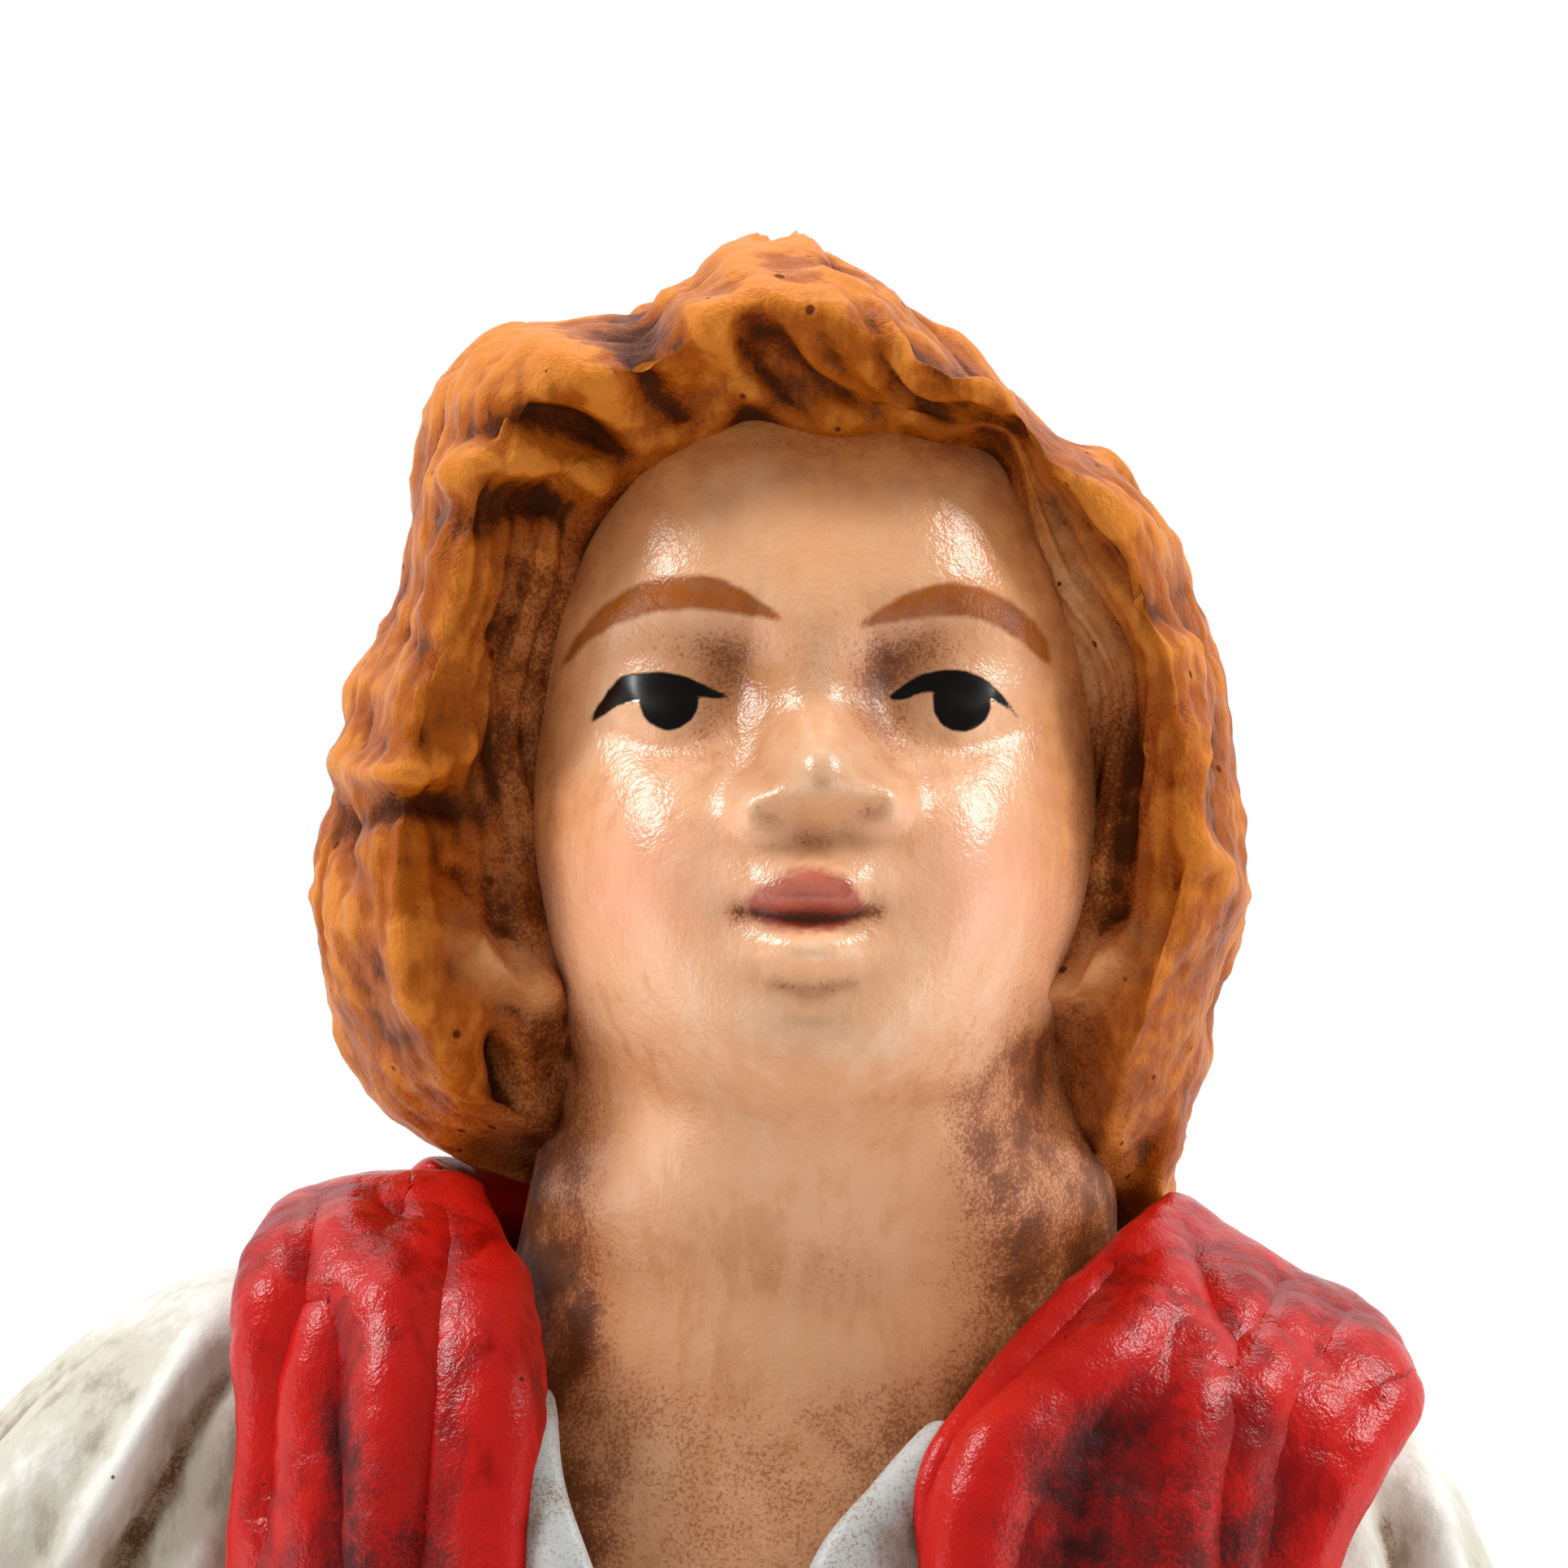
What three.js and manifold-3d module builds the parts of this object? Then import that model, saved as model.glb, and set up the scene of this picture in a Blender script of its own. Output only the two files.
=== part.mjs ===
// Nativity shepherd boy: a press-moulded, hand-painted clay figure with a separate wooden crook.
// The clay pieces are pressed in their own moulds, threaded on an armature of wires and a dowel, and
// stuck together. Millimetres, +Z up. The figure faces -Y, and the origin is on the underside of its base.

import * as THREE from "three";
import { mergeVertices } from "three/addons/utils/BufferGeometryUtils.js";
import Module from "manifold-3d";

const wasm = await Module();
wasm.setup();

// Driving dimensions: fits and armature
const FIT_GAP = 0.3; // film of slip or glue between two pieces
const WIRE_RADIUS = 0.8; // arm wires
const WIRE_BITE = 1.5; // depth of an arm wire in the torso, past the root of the sleeve
const ROD_RADIUS = 1.0; // leg rods
const ROD_BITE = 6; // depth of a leg rod in the base
const DOWEL_RADIUS = 1.4; // neck dowel
const DOWEL_BITE = 9; // depth of the neck dowel in the torso, and in the neck

// Driving dimensions: ground base
const BASE_HEIGHT = 9.3;
const BASE_WIDTH = 72;
const BASE_DEPTH = 50;
const BASE_SHIFT = -5; // the base reaches out under the crook
const BASE_SHOULDER = 5; // inward step from the widest ring to the flat top

// Driving dimensions: lengths of the body, from the soles up
const BOOT_HEIGHT = 20;
const STOCKING_LENGTH = 13;
const THIGH_LENGTH = 28;
const HIP_HEIGHT = 14.4;
const TORSO_LENGTH = 35.5;
const NECK_RISE = 11.5; // from the top of the torso to the middle of the head

// Driving dimensions: legs
const RIGHT_ANKLE = [-8.6, 2.5];
const LEFT_ANKLE = [8.4, -1.0];
const HIP_SPREAD = 6.6;
const BODY_SETBACK = 1.5; // the body's axis lies this far behind the origin
const TOE_OUT = 18; // degrees
const FOOT_SIZE = [4.1, 10.5, 6.2]; // half sizes
const FOOT_FORWARD = 4.5; // middle of the foot ahead of the ankle
const ANKLE_RADIUS = 4.4;
const BOOT_TOP_RADIUS = 5.3;
const STOCKING_RADIUS = 4.7;
const CALF_SWELL = 0.6;
const HEM_RADIUS = 5.7;
const KNEE_FULLNESS = 7.5;
const THIGH_RADIUS = 7.9;

// Driving dimensions: half widths and depths of the trunk
const HIP_SIZE = [14.2, 10.4];
const WAIST_SIZE = [10.8, 8.6];
const CHEST_SIZE = [12.2, 9.2];
const SHOULDER_SIZE = [12.4, 7.8];
const NECK_BASE_SIZE = [6.6, 4.8];
const CHEST_YAW = -10; // degrees: the chest is turned towards the crook
const SHOULDER_ROLL = 6; // degrees: the arm that holds the crook lifts its shoulder

// Driving dimensions: waistcoat, sash and collar
const VEST_THICKNESS = 1.5;
const VEST_HEM = 5.2; // above the waist
const VEST_REACH = 2.4; // how far the waistcoat stands out over the top of each arm
const FOLD_PITCH = 7; // from one fold of the waistcoat's back to the next
const FOLD_DEPTH = 0.5; // how far a fold stands out, and the valley beside it in
const FOLD_TOP = 2.5; // the folds start this far below the top of the torso
const FOLD_RUN = 9; // height in which a fold comes up to its full depth
const SASH_THICKNESS = 1.4;
const SASH_DROP = 4.5; // below the waist
const SASH_RISE = 4.2; // above the waist
const COLLAR_RADIUS = 1.5;
const RIGHT_COLLAR = [
  { x: -6.6, y: -5.6, drop: 2.2 },
  { x: -6.3, y: -8.0, drop: 6.5 },
  { x: -5.6, y: -9.0, drop: 10.5 },
  { x: -4.4, y: -9.2, drop: 14.5 },
]; // places on the breast, below the top of the torso
const LEFT_COLLAR = [
  { x: 3.4, y: -6.6, drop: 3.8 },
  { x: 2.0, y: -8.2, drop: 7.0 },
  { x: 0.4, y: -9.0, drop: 10.5 },
  { x: -1.4, y: -9.3, drop: 14.5 },
];
const VEST_RIGHT_EDGE = [
  { x: -9.8, drop: -6 },
  { x: -8.4, drop: 0 },
  { x: -7.4, drop: 3.5 },
  { x: -7.9, drop: 8.5 },
  { x: -6.8, drop: 18 },
  { x: -6.2, drop: TORSO_LENGTH },
]; // front edges of the waistcoat, below the top of the torso
const VEST_LEFT_EDGE = [
  { x: 10.6, drop: -6 },
  { x: 9.2, drop: -0.7 },
  { x: 4.2, drop: 4.2 },
  { x: 2.9, drop: 8.5 },
  { x: 2.9, drop: 18 },
  { x: 2.6, drop: TORSO_LENGTH },
];

// Driving dimensions: arms, from the edge of the shoulders, the body's axis and the top of the torso
const RIGHT_SHOULDER = { out: 2.1, back: 1.9, drop: 6.3 };
const RIGHT_UPPER_ARM = [-0.765, -0.04, -0.643]; // direction
const RIGHT_FOREARM = [-0.3, -0.72, -0.62]; // direction
const LEFT_SHOULDER = { out: 0, back: -1.3, drop: 7.7 };
const LEFT_UPPER_ARM = [0.36, -0.06, -0.93]; // direction
const LEFT_FOREARM = [-0.05, -0.9, -0.42]; // direction
const UPPER_ARM_LENGTH = 23;
const FOREARM_LENGTH = 15;
const SHOULDER_RADIUS = 5.1;
const ELBOW_RADIUS = 5.3;
const WRIST_RADIUS = 3.9;
const CUFF_LENGTH = 3.2;
const CUFF_RADIUS = 4.4;
const HAND_REACH = 6.6; // from the cuff to the middle of the hand
const FINGER_RADIUS = 1.25;
const FINGER_PITCH = 2.1; // from one finger to the next
const THUMB_GAP = 1; // between the open hand's thumb and its forefinger
const FINGER_LENGTHS = [6.2, 7.4, 7.0, 5.4]; // past the palm, from the forefinger
const PALM_THICKNESS = 3.8;
const HAND_WRIST_RADIUS = 2.9;

// Driving dimensions: crook
const STAFF_RADIUS = 1.3;
const STAFF_LENGTH = 116; // straight part
const HOOK_RADIUS = 5.5;
const HOOK_SWEEP = 215; // degrees of arc
const STAFF_FOOT = [-26, -10]; // where it stands on the base

// Driving dimensions: head, in the head's own frame, with its face to -y and its crown to +z
const HEAD_PITCH = 25; // degrees: the face looks up
const HEAD_FORMS = [
  { at: [0, 1.4, 2.4], size: [7.7, 9.3, 8.9] }, // cranium
  { at: [0, -3.0, 4.4], size: [5.8, 5.2, 5.0] }, // forehead
  { at: [0, -1.4, -3.2], size: [7.0, 7.2, 7.6] }, // face
  { at: [-3.3, -4.2, -4.4], size: [3.7, 3.8, 4.0] }, // right cheek
  { at: [3.3, -4.2, -4.4], size: [3.7, 3.8, 4.0] }, // left cheek
  { at: [0, -5.4, -8.4], size: [3.0, 2.9, 2.6] }, // chin
  { at: [0, -8.3, -2.9], size: [1.5, 2.0, 1.8] }, // nose
];
const HEAD_SOFTNESS = 0.35; // how roundly the forms of the head run together
const NECK_RADIUS = 5.4;
const NECK_ROOT_RADIUS = 6.2;
const NECK_LEAN = 0.9; // the root of the neck lies this far behind the middle of the head
const BREAST_FORM = { at: [-1.6, -1.4, -8.5], size: [5.6, 7.4, 8.6] }; // from the top of the torso

// Driving dimensions: hair, from the middle of the head, in the figure's frame
const HAIR_OUTLINE = [
  [-0.5, 16.05], [1.2, 15.3], [2.55, 14.3], [4.4, 13.05], [5.85, 11.4], [8.4, 9.7], [10.0, 7.6], [11.0, 5.4],
  [11.65, 1.4], [12.05, -0.4], [11.6, -3.2], [10.75, -6.8], [9.2, -10.2], [6.5, -11.2], [2.0, -11.0], [-3.0, -10.6],
  [-7.5, -10.0], [-9.7, -9.2], [-11.6, -8.1], [-13.1, -5.0], [-13.75, -1.4], [-13.2, 1.5], [-12.0, 5.0], [-10.85, 8.2],
  [-10.4, 11.4], [-9.4, 12.9], [-6.5, 13.65], [-5.2, 13.9], [-3.35, 14.9], [-1.1, 16.1],
]; // seen from the front: across and up
const HAIRLINE = [
  [-3.3, 10.9], [-5.1, 9.8], [-6.8, 5.7], [-7.2, 0.4], [-6.9, -4.7], [-7.9, -8.4], [-3.0, -8.6], [3.0, -8.6],
  [6.8, -8.4], [6.2, -4.6], [7.4, 1.7], [7.2, 3.9], [5.2, 10.4], [1.8, 10.7],
]; // where the hair starts round the face, seen from the front
const HAIR_DEPTHS = [
  { turn: 0, crest: -5.4, line: -3.0 },
  { turn: 40, crest: -4.2, line: -2.4 },
  { turn: 90, crest: -4.2, line: -1.6 },
  { turn: 125, crest: -3.2, line: -0.2 },
  { turn: 150, crest: 2.0, line: 3.0 },
  { turn: 180, crest: 6.0, line: 6.0 },
  { turn: 210, crest: 2.0, line: 3.0 },
  { turn: 235, crest: -3.2, line: -0.2 },
  { turn: 270, crest: -4.4, line: -1.6 },
  { turn: 320, crest: -5.0, line: -2.6 },
  { turn: 360, crest: -5.4, line: -3.0 },
]; // y of the crest of the hair and of the hairline, by degrees from the top towards the left
const HAIR_TUCK = { reach: 2.4, depth: 3 }; // how far the hair runs in under the face, and back
const HAIR_LIP = 0.5; // half width of the dip at the hairline
const HAIR_LIP_DEPTH = 1.2; // how far that dip starts behind the hairline
const HAIR_LEAST = 1.2; // least distance from the hairline to the outline
const HAIR_SHOULDER = { inset: 0.9, drop: 2.2 }; // where the hair turns back, inside the outline and behind the crest
const HAIR_RIM = 1.7; // y of the outline
const HAIR_RIM_DROP = 3; // least way back from the crest to the outline
const HAIR_BACK = 12.4; // y of the back of the hair
const HAIR_BACK_SHARES = [
  { reach: 0.93, depth: 0.43 },
  { reach: 0.74, depth: 0.73 },
  { reach: 0.42, depth: 0.93 },
  { reach: 0.02, depth: 1 },
]; // of the outline, and of the way from the outline to the back
const HAIR_CROWN = [-0.6, 4.6, 12.0]; // where the furrows start
const FURROW_COUNT = 9;
const FURROW_DEPTH = 1.3;
const FURROW_LEVEL = 0.6; // share of the depth that lies inside the smooth form
const FURROW_RUN = { crown: 6, seam: 2.6 }; // way from the crown and from the front in which the furrows come up
const FURROW_WAVES = [
  { swing: 0.9, rate: 0.55, twist: 2 },
  { swing: 0.4, rate: 1.3, twist: 0 },
]; // how the furrows wander on their way down
const HAIR_SEAM = 0.8; // y where the front locks meet the cap
const LOCK_TURNS = {
  hair_forelock: [-17.5, 48],
  hair_left_lock: [48, 136],
  hair_right_lock: [224, 292],
  hair_temple_lock: [292, 342.5],
}; // degrees round the face, from the top towards the left

// Fineness of the facets
const BALL_SEGMENTS = 14;
const CLAY_SEGMENTS = 22;
const CLAY_RINGS = 16;
const HAIR_COLUMNS = 60;
const VEST_SIDES = 44;
const RING_SIDES = 22;
const LIMB_SIDES = 10;
const FINGER_SIDES = 6;
const WIRE_SIDES = 8;
const FAR = 400; // reach of a cutting block, well past the figure

// Levels, stacked from the ground up
const soleZ = BASE_HEIGHT + FIT_GAP;
const bootTopZ = soleZ + BOOT_HEIGHT;
const hemZ = bootTopZ + STOCKING_LENGTH;
const crotchZ = hemZ + THIGH_LENGTH;
const waistZ = crotchZ + HIP_HEIGHT;
const torsoTopZ = waistZ + TORSO_LENGTH;
const headZ = torsoTopZ + NECK_RISE;
const headCentre = new THREE.Vector3(0, 0, headZ);

const vec = (p) => new THREE.Vector3(...p);
const rad = THREE.MathUtils.degToRad;
const along = (from, direction, distance) => from.clone().addScaledVector(direction, distance);

// Solids and their booleans

/** A closed geometry as a solid that can be joined and cut. */
function solid(geometry) {
  const bare = new THREE.BufferGeometry().setAttribute("position", geometry.getAttribute("position"));
  if (geometry.index) bare.setIndex(geometry.index);
  const merged = mergeVertices(bare, 1e-4);
  const mesh = new wasm.Mesh({
    numProp: 3,
    vertProperties: new Float32Array(merged.attributes.position.array),
    triVerts: new Uint32Array(merged.index.array),
  });
  return new wasm.Manifold(mesh);
}

/** The solid's surface as a three.js geometry. */
function surface(body) {
  const mesh = body.getMesh();
  const geometry = new THREE.BufferGeometry();
  geometry.setAttribute("position", new THREE.BufferAttribute(new Float32Array(mesh.vertProperties), 3));
  geometry.setIndex(new THREE.BufferAttribute(new Uint32Array(mesh.triVerts), 1));
  geometry.computeVertexNormals();
  return geometry;
}

const join = (bodies) => bodies.reduce((whole, body) => whole.add(body));
const cut = (body, tools) => tools.reduce((left, tool) => left.subtract(tool), body);

/** The largest of a body's loose lumps, so that a cut leaves no crumbs. */
function mainLump(body) {
  return body.decompose().reduce((best, lump) => (lump.volume() > best.volume() ? lump : best));
}

/** A block between two corners. */
function block(low, high) {
  const size = vec(high).sub(vec(low));
  const middle = vec(low).add(vec(high)).multiplyScalar(0.5);
  return solid(new THREE.BoxGeometry(size.x, size.y, size.z).translate(middle.x, middle.y, middle.z));
}

/** A turned ellipsoid, each half size grown by the same amount. */
function ball(centre, size, turn = new THREE.Euler(), grow = 0) {
  const place = new THREE.Matrix4().compose(
    centre,
    new THREE.Quaternion().setFromEuler(turn),
    vec(size).addScalar(grow),
  );
  const rings = Math.round(BALL_SEGMENTS * 0.7);
  return solid(new THREE.SphereGeometry(1, BALL_SEGMENTS, rings).applyMatrix4(place));
}

/** How far a ray from the origin runs before it leaves an ellipsoid, or 0 where it misses. */
function exit(form, ray) {
  const p = vec(form.at).negate().divide(vec(form.size));
  const d = ray.clone().divide(vec(form.size));
  const half = p.dot(d);
  const root = half * half - d.lengthSq() * (p.lengthSq() - 1);
  return root > 0 ? Math.max(0, (Math.sqrt(root) - half) / d.lengthSq()) : 0;
}

/** Ellipsoids run together: along each ray from the origin, the farthest of them, softly rounded. */
function clay(forms, softness, grow = 0) {
  const geometry = new THREE.SphereGeometry(1, CLAY_SEGMENTS, CLAY_RINGS);
  const position = geometry.getAttribute("position");
  const ray = new THREE.Vector3();
  for (let i = 0; i < position.count; i++) {
    ray.fromBufferAttribute(position, i).normalize();
    const reaches = forms.map((form) => exit(form, ray));
    const far = Math.max(...reaches);
    const weight = reaches.reduce((sum, r) => sum + Math.exp((r - far) / softness), 0);
    ray.multiplyScalar(far + softness * Math.log(weight) + grow);
    position.setXYZ(i, ray.x, ray.y, ray.z);
  }
  return geometry;
}

/** Closed rings of points, each counter-clockwise about the way they are stacked, skinned and capped. */
function loft(rings) {
  const sides = rings[0].length;
  const points = rings.flat();
  const faces = [];
  for (let i = 0; i + 1 < rings.length; i++) {
    for (let j = 0; j < sides; j++) {
      const k = (j + 1) % sides;
      const [a, b, c, d] = [i * sides + j, i * sides + k, (i + 1) * sides + k, (i + 1) * sides + j];
      faces.push(a, b, c, a, c, d);
    }
  }
  const middle = (ring) => ring.reduce((sum, p) => sum.add(p), new THREE.Vector3()).divideScalar(sides);
  const start = points.push(middle(rings[0])) - 1;
  const end = points.push(middle(rings.at(-1))) - 1;
  const last = (rings.length - 1) * sides;
  for (let j = 0; j < sides; j++) {
    const k = (j + 1) % sides;
    faces.push(start, k, j, end, last + j, last + k);
  }
  const geometry = new THREE.BufferGeometry().setFromPoints(points);
  return solid(geometry.setIndex(faces));
}

/** A smooth run through the values that each station holds, as a function of 0 to 1. */
function spread(stations, read) {
  const curve = new THREE.CatmullRomCurve3(stations.map(read), false, "centripetal");
  return (t) => curve.getPoint(t);
}

/**
 * A trunk of upright elliptical rings. Each station has z, half sizes [width, depth], and optional x, y,
 * yaw and roll in degrees. The rings are grown by grow, and so are the two ends. The relief is a height
 * at each place across, share of the way back, and z.
 */
function trunk(stations, grow = 0, steps = 2, sides = RING_SIDES, relief = () => 0) {
  const size = spread(stations, (s) => new THREE.Vector3(s.size[0], s.size[1], s.z));
  const place = spread(stations, (s) => new THREE.Vector3(s.x ?? 0, s.y ?? BODY_SETBACK, s.z));
  const turn = spread(stations, (s) => new THREE.Vector3(s.yaw ?? 0, s.roll ?? 0, s.z));
  const count = (stations.length - 1) * steps;
  const rings = [];
  for (let i = 0; i <= count; i++) {
    const t = i / count;
    const endGrow = i === 0 ? -grow : i === count ? grow : 0;
    const half = size(t);
    const centre = place(t);
    const angles = turn(t);
    const spin = new THREE.Matrix4().makeRotationZ(rad(angles.x));
    const ring = [];
    for (let j = 0; j < sides; j++) {
      const a = (2 * Math.PI * j) / sides;
      const out = grow + relief(half.x * Math.cos(a), Math.sin(a), half.z);
      const p = new THREE.Vector3((half.x + out) * Math.cos(a), (half.y + out) * Math.sin(a), 0);
      p.applyMatrix4(spin);
      p.z = -p.x * Math.tan(rad(angles.y)) + endGrow;
      ring.push(p.add(new THREE.Vector3(centre.x, centre.y, half.z)));
    }
    rings.push(ring);
  }
  return loft(rings);
}

/** A limb of round rings along stations of { at, r }. Grow widens it and lengthens both ends. */
function limb(stations, grow = 0, steps = 2, sides = LIMB_SIDES) {
  const path = new THREE.CatmullRomCurve3(stations.map((s) => s.at), false, "centripetal");
  const radius = spread(stations, (s, i) => new THREE.Vector3(s.r, i, 0));
  const count = (stations.length - 1) * steps;
  const rings = [];
  let side = new THREE.Vector3(0, 1, 0);
  for (let i = 0; i <= count; i++) {
    const t = i / count;
    const forward = path.getTangent(t);
    side = side.clone().addScaledVector(forward, -side.dot(forward)).normalize();
    const up = new THREE.Vector3().crossVectors(forward, side);
    const r = radius(t).x + grow;
    const endGrow = i === 0 ? -grow : i === count ? grow : 0;
    const centre = along(path.getPoint(t), forward, endGrow);
    const ring = [];
    for (let j = 0; j < sides; j++) {
      const a = (2 * Math.PI * j) / sides;
      ring.push(along(along(centre, side, r * Math.cos(a)), up, r * Math.sin(a)));
    }
    rings.push(ring);
  }
  return loft(rings);
}

/** A round wire along a path of points, grown in radius and at its two ends. */
function wire(points, radius, grow = 0, steps = points.length * 3) {
  const first = points[1].clone().sub(points[0]).normalize();
  const last = points.at(-1).clone().sub(points.at(-2)).normalize();
  const route = [along(points[0], first, -grow), ...points.slice(1, -1), along(points.at(-1), last, grow)];
  const section = new THREE.Shape();
  for (let j = 0; j < WIRE_SIDES; j++) {
    const a = (2 * Math.PI * j) / WIRE_SIDES;
    section[j ? "lineTo" : "moveTo"]((radius + grow) * Math.cos(a), (radius + grow) * Math.sin(a));
  }
  section.closePath();
  const path = new THREE.CatmullRomCurve3(route, false, "centripetal");
  return solid(new THREE.ExtrudeGeometry(section, { steps, bevelEnabled: false, extrudePath: path }));
}

// Legs and base

const legs = {
  right: { ankle: RIGHT_ANKLE, hip: [-HIP_SPREAD, BODY_SETBACK], out: -1 },
  left: { ankle: LEFT_ANKLE, hip: [HIP_SPREAD, BODY_SETBACK], out: 1 },
};

/** The point of a leg's straight axis at height z. */
function legAt(leg, z) {
  const t = (z - soleZ) / (crotchZ - soleZ);
  const x = THREE.MathUtils.lerp(leg.ankle[0], leg.hip[0], t);
  const y = THREE.MathUtils.lerp(leg.ankle[1], leg.hip[1], t);
  return new THREE.Vector3(x, y, z);
}

const legRod = (leg, grow = 0) =>
  wire([legAt(leg, BASE_HEIGHT - ROD_BITE), legAt(leg, hemZ), legAt(leg, crotchZ)], ROD_RADIUS, grow, 2);

/** A boot: an ankle shaft over a foot, cut flat at the sole. */
function boot(leg) {
  const turn = new THREE.Euler(0, 0, rad(leg.out * TOE_OUT));
  const toe = new THREE.Vector3(0, -1, 0).applyEuler(turn);
  const shaft = limb([
    { at: legAt(leg, soleZ), r: ANKLE_RADIUS },
    { at: legAt(leg, soleZ + BOOT_HEIGHT / 2), r: ANKLE_RADIUS },
    { at: legAt(leg, bootTopZ), r: BOOT_TOP_RADIUS },
  ]);
  const foot = ball(along(legAt(leg, soleZ), toe, FOOT_FORWARD), FOOT_SIZE, turn);
  const under = block([-FAR, -FAR, -FAR], [FAR, FAR, soleZ]);
  return cut(join([shaft, foot]), [under, legRod(leg, FIT_GAP)]);
}

/** A stocking: the calf between the boot and the hem of the breeches. */
function stocking(leg) {
  const low = bootTopZ + FIT_GAP;
  const high = hemZ - FIT_GAP;
  const calf = limb([
    { at: legAt(leg, low), r: STOCKING_RADIUS },
    { at: legAt(leg, (low + high) / 2), r: STOCKING_RADIUS + CALF_SWELL },
    { at: legAt(leg, high), r: STOCKING_RADIUS },
  ]);
  return cut(calf, [legRod(leg, FIT_GAP)]);
}

/** Knee breeches: two full legs gathered at the knee, joined to the hips. */
function breeches(grow = 0) {
  const legForm = (leg) =>
    limb(
      [
        { at: legAt(leg, hemZ), r: HEM_RADIUS },
        { at: legAt(leg, hemZ + THIGH_LENGTH * 0.22), r: KNEE_FULLNESS },
        { at: legAt(leg, hemZ + THIGH_LENGTH * 0.7), r: THIGH_RADIUS },
        { at: legAt(leg, crotchZ + HIP_HEIGHT * 0.3), r: THIGH_RADIUS * 0.8 },
      ],
      grow,
    );
  const hips = trunk(
    [
      { z: crotchZ - HIP_HEIGHT * 0.25, size: between([0, 0], HIP_SIZE, 0.72) },
      { z: crotchZ + HIP_HEIGHT * 0.2, size: HIP_SIZE },
      { z: waistZ - FIT_GAP, size: WAIST_SIZE },
    ],
    grow,
  );
  return join([hips, legForm(legs.right), legForm(legs.left)]);
}

/** The ground that the boy stands on: a low oval mound with a flat top. */
function groundBase() {
  const half = [BASE_WIDTH / 2, BASE_DEPTH / 2];
  const ring = (z, step) => ({ z, x: BASE_SHIFT, y: 0, size: [half[0] - step, half[1] - step] });
  const mound = trunk(
    [
      ring(0, 0.8),
      ring(BASE_HEIGHT * 0.3, 0),
      ring(BASE_HEIGHT * 0.8, BASE_SHOULDER * 0.4),
      ring(BASE_HEIGHT, BASE_SHOULDER),
    ],
    0,
    2,
  );
  return cut(mound, [legRod(legs.right, FIT_GAP), legRod(legs.left, FIT_GAP)]);
}

// Trunk

/** Half sizes that lie between two others, and half sizes with a greater width. */
const between = (a, b, t) => a.map((v, i) => THREE.MathUtils.lerp(v, b[i], t));
const wider = (size, more) => [size[0] + more, size[1]];

/** The stations of the torso from a height above the waist, grown outwards, and more at the shoulders. */
function torsoStations(fromRise = 0, outwards = 0, reach = 0) {
  const turned = { yaw: CHEST_YAW, roll: SHOULDER_ROLL };
  const stations = [
    { rise: 0, size: WAIST_SIZE, yaw: 0, roll: 0 },
    { rise: TORSO_LENGTH * 0.28, size: between(WAIST_SIZE, CHEST_SIZE, 0.5), yaw: CHEST_YAW / 2, roll: 0 },
    { rise: TORSO_LENGTH * 0.58, size: CHEST_SIZE, yaw: CHEST_YAW, roll: SHOULDER_ROLL / 2 },
    { rise: TORSO_LENGTH * 0.82, size: wider(SHOULDER_SIZE, reach), ...turned },
    { rise: TORSO_LENGTH * 0.95, size: wider(between(SHOULDER_SIZE, NECK_BASE_SIZE, 0.5), reach), ...turned },
    { rise: TORSO_LENGTH, size: wider(NECK_BASE_SIZE, reach), ...turned },
  ];
  const top = stations.length - 1;
  return stations
    .map((s) => ({ ...s, rise: Math.max(s.rise, fromRise) }))
    .map((s, i) => ({ ...s, z: waistZ + s.rise + (i === top ? outwards : 0) }))
    .map((s) => ({ ...s, size: s.size.map((v) => v + outwards) }))
    .filter((s, i, all) => i === 0 || s.rise > all[i - 1].rise);
}

const torsoForm = (grow = 0) => trunk(torsoStations(), grow);

/** The neck, from the middle of the head down into the torso. */
function neckForm(grow) {
  const root = new THREE.Vector3(BREAST_FORM.at[0], BODY_SETBACK + NECK_LEAN, torsoTopZ - DOWEL_BITE * 1.4);
  const throat = new THREE.Vector3(BREAST_FORM.at[0] / 2, BODY_SETBACK, torsoTopZ);
  return limb(
    [
      { at: root, r: NECK_ROOT_RADIUS },
      { at: throat, r: (NECK_RADIUS + NECK_ROOT_RADIUS) / 2 },
      { at: along(headCentre, new THREE.Vector3(0, 1, -1), NECK_LEAN), r: NECK_RADIUS },
    ],
    grow,
  );
}

const dowel = (grow = 0) => {
  const foot = new THREE.Vector3(BREAST_FORM.at[0], BODY_SETBACK, torsoTopZ - DOWEL_BITE * 2);
  const top = new THREE.Vector3(BREAST_FORM.at[0] / 2, BODY_SETBACK, torsoTopZ + DOWEL_BITE);
  return wire([foot, foot.clone().lerp(top, 0.5), top], DOWEL_RADIUS, grow, 2);
};

/** Head, neck and the bare breast that shows in the open shirt, pressed as one piece. */
function headForm(grow = 0) {
  const skull = clay(HEAD_FORMS, HEAD_SOFTNESS, grow).rotateX(-rad(HEAD_PITCH)).translate(0, 0, headZ);
  const breast = vec(BREAST_FORM.at).add(new THREE.Vector3(0, BODY_SETBACK, torsoTopZ));
  return join([solid(skull), neckForm(grow), ball(breast, BREAST_FORM.size, undefined, grow)]);
}

// Arms

/** Where a shoulder joint lies, on the side that the sign gives. */
function shoulderAt(sign, { out, back, drop }) {
  return new THREE.Vector3(sign * (SHOULDER_SIZE[0] + out), BODY_SETBACK + back, torsoTopZ - drop);
}

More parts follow.
